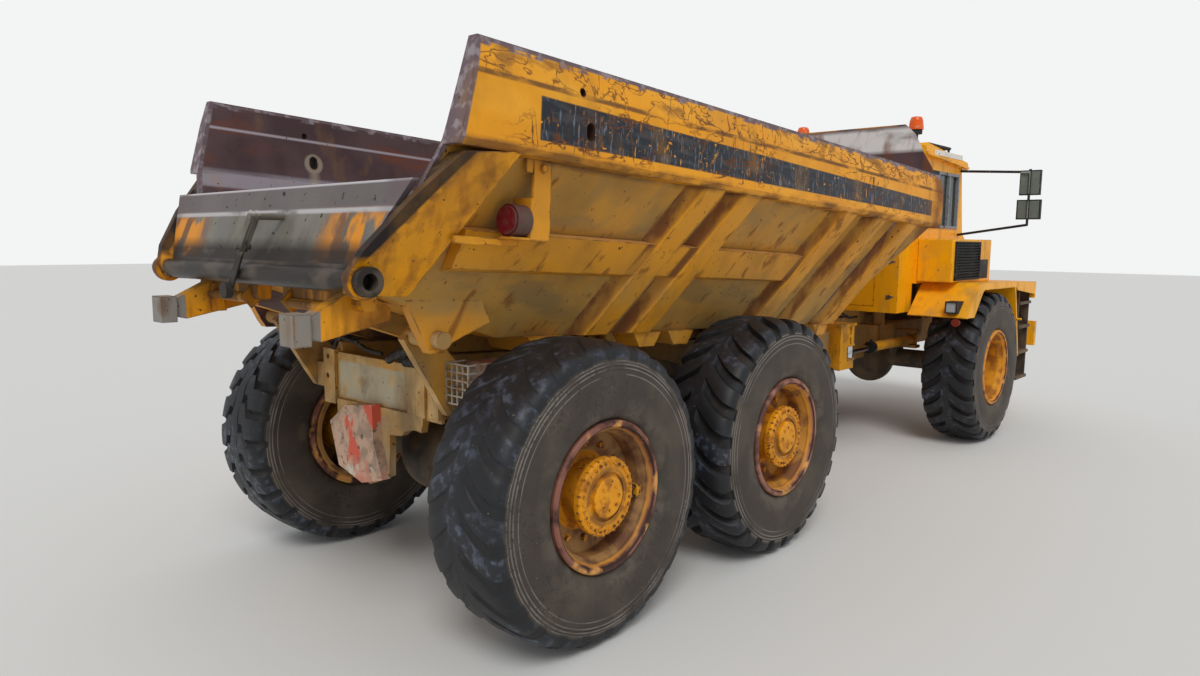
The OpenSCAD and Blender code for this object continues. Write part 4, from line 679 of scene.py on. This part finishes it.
ring, ring_keys, given = node_group("ring_of_bolts", {
    "Count": "Int", "Radius": "Float", "Head Radius": "Float", "Head Height": "Float", "Sides": "Int",
    "Finish": "Material"})
circle = add(ring, "GeometryNodeMeshCircle", {"Vertices": given["Count"], "Radius": given["Radius"]})
head = add(ring, "GeometryNodeMeshCylinder", {
    "Vertices": given["Sides"], "Radius": given["Head Radius"], "Depth": given["Head Height"]})
full_turn = (0.0, 0.0, 6.283)
any_turn = add(ring, "FunctionNodeRandomValue", {"Max": full_turn, "Seed": 7}, data_type="FLOAT_VECTOR")
repeat_on(circle, head, any_turn, given["Finish"])


def bolt_coats(spot, normal):
    return [(cloud(spot, 22, 6, 0.45, 0.6), "#a5691f", 0.6), (cloud(spot, 40, 5, 0.5, 0.6), "#5a3b28", 0.75)]


bolt_look = coated("bolt_enamel", "#d8901c", 0.5, bolt_coats)


def finish_mesh(shape, mesh, look, sharp_from=None):
    """Writes a bmesh into a mesh with outward faces in one look, smooth up to an angle if one is given."""
    bmesh.ops.recalc_face_normals(shape, faces=shape.faces)
    shape.to_mesh(mesh)
    shape.free()
    if sharp_from is not None:
        mesh.polygons.foreach_set("use_smooth", [True] * len(mesh.polygons))
        mesh.set_sharp_from_angle(angle=math.radians(sharp_from))
    mesh.materials.clear()
    mesh.materials.append(look)
    return mesh


def one_mesh(name, parts, look):
    """Joins (mesh, matrix) pairs into one mesh."""
    shape = bmesh.new()
    for mesh, matrix in parts:
        start = len(shape.verts)
        shape.from_mesh(mesh)
        shape.verts.ensure_lookup_table()
        bmesh.ops.transform(shape, matrix=matrix, verts=shape.verts[start:])
    bmesh.ops.remove_doubles(shape, verts=shape.verts, dist=0.00001)
    return finish_mesh(shape, bpy.data.meshes.new(name), look)


def new_piece(name, mesh, body):
    """Links a finished mesh as a piece that rides on a body."""
    obj = bpy.data.objects.new(name, mesh)
    bpy.context.scene.collection.objects.link(obj)
    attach(obj, body)
    return obj


# Rings of the hubs: hub bolts, the teeth of the hub's ring, wheel nuts and the cap's bolts. Count, radius,
# head radius, head height and sides of each, then how far out it stands on the planetary hubs of the rear axles
# and in the dished front wheels.
hub_rings = [(30, 0.165, 0.0085, 0.014, 6, 1.284, 1.072), (30, 0.186, 0.0075, 0.024, 4, 1.268, 1.056),
             (12, 0.238, 0.019, 0.026, 6, 1.128, 0.999), (8, 0.062, 0.008, 0.010, 6, 1.299, 1.087)]
to_the_side = Matrix.Rotation(math.radians(90), 4, "X")
for corner in WHEELS:
    facing = 1 if corner[1] == "l" else -1
    parts = []
    for count, radius, head_radius, head_height, sides, rear_y, front_y in hub_rings:
        bolts = grown(ring, ring_keys, {
            "Count": count, "Radius": radius, "Head Radius": head_radius, "Head Height": head_height,
            "Sides": sides, "Finish": bolt_look})
        middle = (axle_x[corner[0]], facing * (front_y if corner[0] == "f" else rear_y), AXLE_Z)
        parts.append((bolts, Matrix.Translation(middle) @ to_the_side))
    new_piece("hub_bolts_" + corner, one_mesh("hub_bolts_" + corner, parts, bolt_look), "wheel_" + corner)


# Tyres: cross-country radials, moulded natural rubber, their tread near the end of its life. The lugs sweep
# back from the shoulder to a middle rib. The rearmost right tyre is worn almost smooth, and the left pair is of
# another make with thin zigzag grooves.
def rubber_coats(spot, normal):
    reach = add(spot, "ShaderNodeAttribute", attribute_name="reach").node.outputs["Fac"]
    groove = add(spot, "ShaderNodeAttribute", attribute_name="groove").node.outputs["Fac"]
    wall = rise(reach, 0.668, 0.655)
    lip = any_of(*[within(reach, inner, outer, 0.001) for inner, outer in (
        (0.631, 0.638), (0.613, 0.620), (0.648, 0.653), (0.585, 0.590))])
    rubbed = all_of(cloud(spot, 3.5, 8, 0.46, 0.62), rise(groove, 0.4, 0.1))
    # Rubbed lug tops, with bluish patches of painted sheen on them
    coats = [(rubbed, "#1f2229", 0.5), (all_of(rubbed, cloud(spot, 24, 7, 0.5, 0.62)), "#4a5060", 0.42),
             # Grooves painted near black as shade in the recess, then some mud in them
             (all_of(groove, 0.5), "#0d0d0f", 0.8),
             (all_of(groove, cloud(spot, 13, 6, 0.46, 0.66), 0.5), "#3a3028", 0.85), (wall, "#3f362e", 0.66)]
    worn_foot = all_of(rise(reach, 0.50, 0.42), cloud(spot, 8, 7, 0.48, 0.6), 0.5)
    specks = all_of(cloud(spot, 60, 7, 0.57, 0.61), cloud(spot, 2.1, 4, 0.52, 0.6, place=(7, 2, 2)), 0.7)
    for mask, colour, finish in (
            (cloud(spot, 4.5, 8, 0.46, 0.62), "#4d4439", 0.7),
            (all_of(cloud(spot, 2.2, 8, 0.52, 0.66, place=(5, 5, 5)), 0.6), "#312b26", 0.55),
            (worn_foot, "#6a5f52", 0.8), (all_of(lip, cloud(spot, 5, 6, 0.36, 0.56), 0.65), "#8a847f", 0.55),
            (specks, "#191614", 0.4)):
        coats.append((all_of(wall, mask), colour, finish))
    return coats + [(all_of(cloud(spot, 60, 4, 0.70, 0.73), 0.7), "#7a6c5a", 0.8)]


rubber = coated("weathered_rubber", "#14161a", 0.55, rubber_coats, grain=120.0, relief=0.3, shine=0.5)

# Half a section of the tyre, from the middle out and in to the bead: half width, radius, and how deep a
# groove cuts
section = [
    (0.0, 0.74, 0.0), (0.03, 0.7398, 0.0), (0.05, 0.7392, 0.8), (0.09, 0.738, 1.0), (0.13, 0.736, 1.0),
    (0.17, 0.732, 1.0), (0.2, 0.724, 1.0), (0.22, 0.712, 1.0), (0.232, 0.696, 1.0), (0.238, 0.676, 1.0),
    (0.2405, 0.658, 0.75), (0.242, 0.645, 0.0), (0.2435, 0.64, 0.0), (0.2465, 0.637, 0.0),
    (0.2465, 0.631, 0.0), (0.2435, 0.628, 0.0), (0.245, 0.622, 0.0), (0.248, 0.619, 0.0), (0.248, 0.614, 0.0),
    (0.2455, 0.611, 0.0), (0.2475, 0.58, 0.0), (0.2495, 0.54, 0.0), (0.25, 0.5, 0.0), (0.2485, 0.455, 0.0),
    (0.245, 0.425, 0.0), (0.238, 0.4, 0.0), (0.228, 0.384, 0.0), (0.214, 0.374, 0.0), (0.206, 0.366, 0.0),
    (0.2055, 0.33, 0.0)]
TYRE_MIDDLE = 1.06
PITCHES = 26
# Stations of one pitch, and a groove's depth at each for swept lugs and for thin zigzag grooves
stations = (0.0, 0.14, 0.28, 0.34, 0.40, 0.5, 0.60, 0.66, 0.72, 0.86)
swept = (0.0, 0.0, 0.08, 1.0, 1.0, 1.0, 1.0, 1.0, 0.08, 0.0)
thin = (0.0, 0.0, 0.0, 0.0, 0.7, 1.0, 0.7, 0.0, 0.0, 0.0)


def ease(value):
    """Smooth step from 0 to 1."""
    value = min(max(value, 0.0), 1.0)
    return value * value * (3 - 2 * value)


def tyre(corner, depth, groove_shade_and_mud, zigzag):
    """Tyre of one wheel, closed along the bead, with its radius and groove depth kept on the points."""
    facing = 1 if corner[1] == "l" else -1
    half = len(section)
    rows = [(number, -1) for number in range(half - 1, 0, -1)] + [(number, 1) for number in range(half)]
    count = PITCHES * len(stations)
    points, reach, groove = [], [], []
    for number, sign in rows:
        wide, radius, deep = section[number]
        if zigzag:
            lean = 0.45 * ease((0.130 - wide) / 0.015) + 0.45 * ease((0.045 - wide) / 0.015)
        else:
            lean = (max(0.24 - wide, 0.0) / 0.24) ** 1.6
        stagger = 0.5 * ease(wide / 0.04) if sign < 0 else 0.0
        for pitch_number in range(PITCHES):
            for station, cut in zip(stations, thin if zigzag else swept):
                angle = 2 * math.pi * (pitch_number + station - lean + stagger) / PITCHES
                out = radius - depth * deep * cut
                points.append((axle_x[corner[0]] + out * math.cos(angle),
                               facing * (TYRE_MIDDLE + sign * wide), AXLE_Z + out * math.sin(angle)))
                reach.append(radius)
                groove.append(deep * cut * groove_shade_and_mud)
    faces = []
    for row in range(len(rows)):
        one, two = row * count, (row + 1) % len(rows) * count
        for step in range(count):
            after = (step + 1) % count
            faces.append((one + step, one + after, two + after, two + step))
    mesh = bpy.data.meshes.new("tread_" + corner)
    mesh.from_pydata(points, [], faces)
    for name, values in (("reach", reach), ("groove", groove)):
        mesh.attributes.new(name, "FLOAT", "POINT").data.foreach_set("value", values)
    shape = bmesh.new()
    shape.from_mesh(mesh)
    finish_mesh(shape, mesh, rubber, sharp_from=38)
    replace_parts(new_piece("tyre_tread_" + corner, mesh, "wheel_" + corner), "tyre_" + corner)


# Wheel, depth of the grooves, how strongly their painted shade and mud show, and whether they are zigzag
for corner, depth, groove_shade_and_mud, zigzag in (
        ("rl", 0.026, 1.0, True), ("rr", 0.009, 0.45, False), ("ml", 0.026, 1.0, True),
        ("mr", 0.040, 1.0, False), ("fl", 0.040, 1.0, False), ("fr", 0.040, 1.0, False)):
    tyre(corner, depth, groove_shade_and_mud, zigzag)


# Hoses: black wire-braided rubber with crimped ends, clipped along the hitch and looped over the frame joint,
# and a bundle over the frame's rear end. Each is a tube round a smooth path.
def hose_coats(spot, normal):
    return [(cloud(spot, 9, 6, 0.46, 0.6), "#2c2a28", 0.65), (cloud(spot, 30, 6, 0.58, 0.66), "#5d5346", 0.8)]


hose_rubber = coated("braided_hose", "#131314", 0.5, hose_coats, grain=300.0)


def smooth_path(points, steps):
    """Places on a smooth curve through the points."""
    line = [Vector(p) for p in points]
    line = [2 * line[0] - line[1]] + line + [2 * line[-1] - line[-2]]
    path = []
    for number in range(1, len(line) - 2):
        a, b, c, d = line[number - 1:number + 3]
        bend, twist = 2 * a - 5 * b + 4 * c - d, 3 * b - a - 3 * c + d
        for step in range(steps):
            t = step / steps
            path.append(0.5 * (2 * b + (c - a) * t + bend * t * t + twist * t ** 3))
    return path + [line[-2]]


def tube_mesh(name, path, radii, look, sides=14):
    """Closed tube round a path, with a radius for each place."""
    shape = bmesh.new()
    rings = []
    across = Vector((0, 0, 1))
    turns = [2 * math.pi * k / sides for k in range(sides)]
    for number, place in enumerate(path):
        forward = (path[min(number + 1, len(path) - 1)] - path[max(number - 1, 0)]).normalized()
        across = across - forward * across.dot(forward)
        across = across.normalized() if across.length > 0.001 else forward.orthogonal().normalized()
        third = forward.cross(across)
        spokes = [math.cos(turn) * across + math.sin(turn) * third for turn in turns]
        rings.append([shape.verts.new(place + radii[number] * spoke) for spoke in spokes])
    for one, two in zip(rings, rings[1:]):
        for k in range(sides):
            shape.faces.new((one[k], one[(k + 1) % sides], two[(k + 1) % sides], two[k]))
    shape.faces.new(rings[0])
    shape.faces.new(rings[-1])
    return finish_mesh(shape, bpy.data.meshes.new(name), look, sharp_from=50)


# Over the hitch, from the top of its box to the front frame's rear member: how far to the left each hose lies,
# and how far it is lifted in its middle
for number, (y, lift) in enumerate(((-0.30, 0.04), (-0.20, 0.06), (0.22, 0.05), (0.31, 0.03))):
    path = smooth_path([
        (0.80, y, 1.215), (0.90, y, 1.245), (1.03, y * 0.95, 1.25 + lift), (1.17, y * 0.93, 1.265 + lift),
        (1.33, y * 0.95, 1.24), (1.50, y, 1.235)], 8)
    mesh = tube_mesh("joint_hose", path, [0.013] * len(path), hose_rubber)
    hose = bpy.data.objects.new("joint_hose_%d" % number, mesh)
    bpy.context.scene.collection.objects.link(hose)
    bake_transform(hose)

# Bundle tied to the hinge brackets: the points and the radius of each hose
bundle = [
    ([(-3.70, -0.20, 1.33), (-3.69, -0.28, 1.37), (-3.70, -0.38, 1.385), (-3.695, -0.47, 1.36),
      (-3.69, -0.55, 1.375)], 0.022),
    ([(-3.66, -0.24, 1.34), (-3.65, -0.34, 1.40), (-3.66, -0.44, 1.41), (-3.655, -0.54, 1.39)], 0.024),
    ([(-3.70, -0.36, 1.34), (-3.71, -0.44, 1.345), (-3.70, -0.52, 1.34)], 0.026),
    ([(-3.67, 0.38, 1.33), (-3.68, 0.30, 1.40), (-3.67, 0.16, 1.39), (-3.68, 0.02, 1.36),
      (-3.67, -0.10, 1.35)], 0.012)]
for number, (points, radius) in enumerate(bundle):
    path = smooth_path(points, 6)
    radii = [radius * (1.0 + 0.12 * math.sin(1.9 * k + number)) for k in range(len(path))]
    new_piece("end_hose_%d" % number, tube_mesh("end_hose", path, radii, hose_rubber), "rear_frame")


# Latches on the cabinet's lid: pressed steel with a dark zinc plating, each a plate, a lever and a hook over
# the seam.
def rounded_block(name, low, high, radius, look):
    """Box between two corners with rounded edges."""
    shape = bmesh.new()
    bmesh.ops.create_cube(shape, size=1.0)
    for vertex in shape.verts:
        vertex.co = Vector([low[k] if vertex.co[k] < 0 else high[k] for k in range(3)])
    bmesh.ops.bevel(shape, geom=shape.edges[:], offset=radius, segments=3, affect="EDGES", profile=0.5)
    return finish_mesh(shape, bpy.data.meshes.new(name), look)


def blocks(name, rows, look):
    """Parts for one_mesh, a rounded block from each row of low corner, high corner and radius."""
    return [(rounded_block(name, low, high, radius, look), Matrix()) for low, high, radius in rows]


latch_steel = coated("latch_steel", "#4a443c", 0.45, chrome_coats, metal=0.7)
for number, z in enumerate((1.774, 1.449)):
    parts = blocks("lid_latch", [
        ((1.300, -0.668, z - 0.022), (1.385, -0.660, z + 0.022), 0.003),
        ((1.352, -0.690, z - 0.011), (1.425, -0.668, z + 0.011), 0.006),
        ((1.290, -0.682, z - 0.008), (1.352, -0.667, z + 0.008), 0.004)], latch_steel)
    new_piece("lid_latch_%d" % number, one_mesh("lid_latch", parts, latch_steel), "front_frame")


# Tyre valve's guard on the rearmost right wheel: a bent dark strap bolted between the hub and the rim, its clip
# in the rim's orange.
def strap_coats(spot, normal):
    return [(rise(axes(spot)[0], -2.9465, -2.9455), "#d9971f", 0.5),
            (cloud(spot, 30, 6, 0.5, 0.6), "#5a3826", 0.8)]


strap_look = coated("rusted_strap", "#2a211d", 0.6, strap_coats)
parts = blocks("valve_guard", [
    ((-3.022, -1.232, 0.664), (-2.930, -1.150, 0.676), 0.003),
    ((-3.022, -1.232, 0.716), (-2.930, -1.150, 0.728), 0.003),
    ((-3.010, -1.224, 0.676), (-2.958, -1.150, 0.716), 0.006),
    ((-2.944, -1.238, 0.670), (-2.914, -1.160, 0.722), 0.005)], strap_look)
new_piece("valve_guard_rr", one_mesh("valve_guard", parts, strap_look), "wheel_rr")


# Blank plates on the sides of the cab's roof: thin acrylic with a pale film, dusty.
def sign_coats(spot, normal):
    return [(cloud(spot, 5, 6, 0.45, 0.65), "#d9d2c2", 0.5), (cloud(spot, 24, 6, 0.6, 0.68), "#a89c86", 0.7)]


sign_look = coated("blank_sign_film", "#e6e2d8", 0.4, sign_coats)
for letter, inner, outer in (("r", -0.744, -0.7405), ("l", 0.7405, 0.744)):
    plate = rounded_block("roof_plate", (2.09, inner, 2.800), (2.86, outer, 2.850), 0.0015, sign_look)
    new_piece("roof_plate_" + letter, plate, "front_frame")


# Air intake beside the cab: a folded sheet housing on the deck, bolted to the cab's right-hand wall, in the
# cab's enamel, with a black moulded louvre in its side and a blank plate ahead of it. The slats are made by
# Geometry Nodes. The deck under the housing falls away ahead of its bend.
deck_bend, deck_fall = 2.109, 0.022
housing_low, housing_high = (1.905, -1.030, 1.5805), (3.020, -0.7005, 1.990)
housing = rounded_block("intake_housing", housing_low, housing_high, 0.012, cab_paint)
for vertex in housing.vertices:
    if vertex.co.z < 1.7:
        vertex.co.z -= max(vertex.co.x - deck_bend, 0.0) * deck_fall
new_piece("intake_housing", housing, "front_frame")

slats, slat_keys, given = node_group("row_of_slats", {
    "Count": "Int", "Pitch": "Float", "Length": "Float", "Depth": "Float", "Thickness": "Float",
    "Lean": "Float", "Finish": "Material"})
step_up = add(slats, "ShaderNodeCombineXYZ", {2: given["Pitch"]})
row = add(slats, "GeometryNodeMeshLine", {"Count": given["Count"], "Offset": step_up})
slat_size = add(slats, "ShaderNodeCombineXYZ", {0: given["Length"], 1: given["Depth"], 2: given["Thickness"]})
slat = add(slats, "GeometryNodeMeshCube", {"Size": slat_size})
tilt = add(slats, "ShaderNodeCombineXYZ", {0: given["Lean"]})
repeat_on(row, slat, tilt, given["Finish"])

louvre_moulding = coated("louvre_moulding", "#1a1c1f", 0.5, moulding_coats, grain=400.0)
slat_mesh = grown(slats, slat_keys, {
    "Count": 13, "Pitch": 0.0275, "Length": 0.660, "Depth": 0.026, "Thickness": 0.004,
    "Lean": math.radians(38), "Finish": louvre_moulding})
# Edges of the louvre's frame along X and Z, the width of its bars, and its faces from the back to the front
rear_x, front_x, low_z, high_z, bar = 1.965, 2.645, 1.597, 1.967, 0.012
back_y, wall_y, front_y = -1.0295, -1.030, -1.050
frame_bars = [((rear_x, -1.033, low_z), (front_x, back_y, high_z)),
              ((rear_x, front_y, high_z - bar), (front_x, wall_y, high_z)),
              ((rear_x, front_y, low_z), (front_x, wall_y, low_z + bar)),
              ((rear_x, front_y, low_z), (rear_x + bar, wall_y, high_z)),
              ((front_x - bar, front_y, low_z), (front_x, wall_y, high_z))]
blank_plate = ((2.700, -1.034, 1.600), (2.930, back_y, 1.790))
parts = [(slat_mesh, Matrix.Translation(((rear_x + front_x) / 2, -1.042, 1.617)))]
bar_rows = [(low, high, 0.0015) for low, high in frame_bars + [blank_plate]]
parts += blocks("intake_bar", bar_rows, louvre_moulding)
new_piece("intake_louvre", one_mesh("intake_louvre", parts, louvre_moulding), "front_frame")
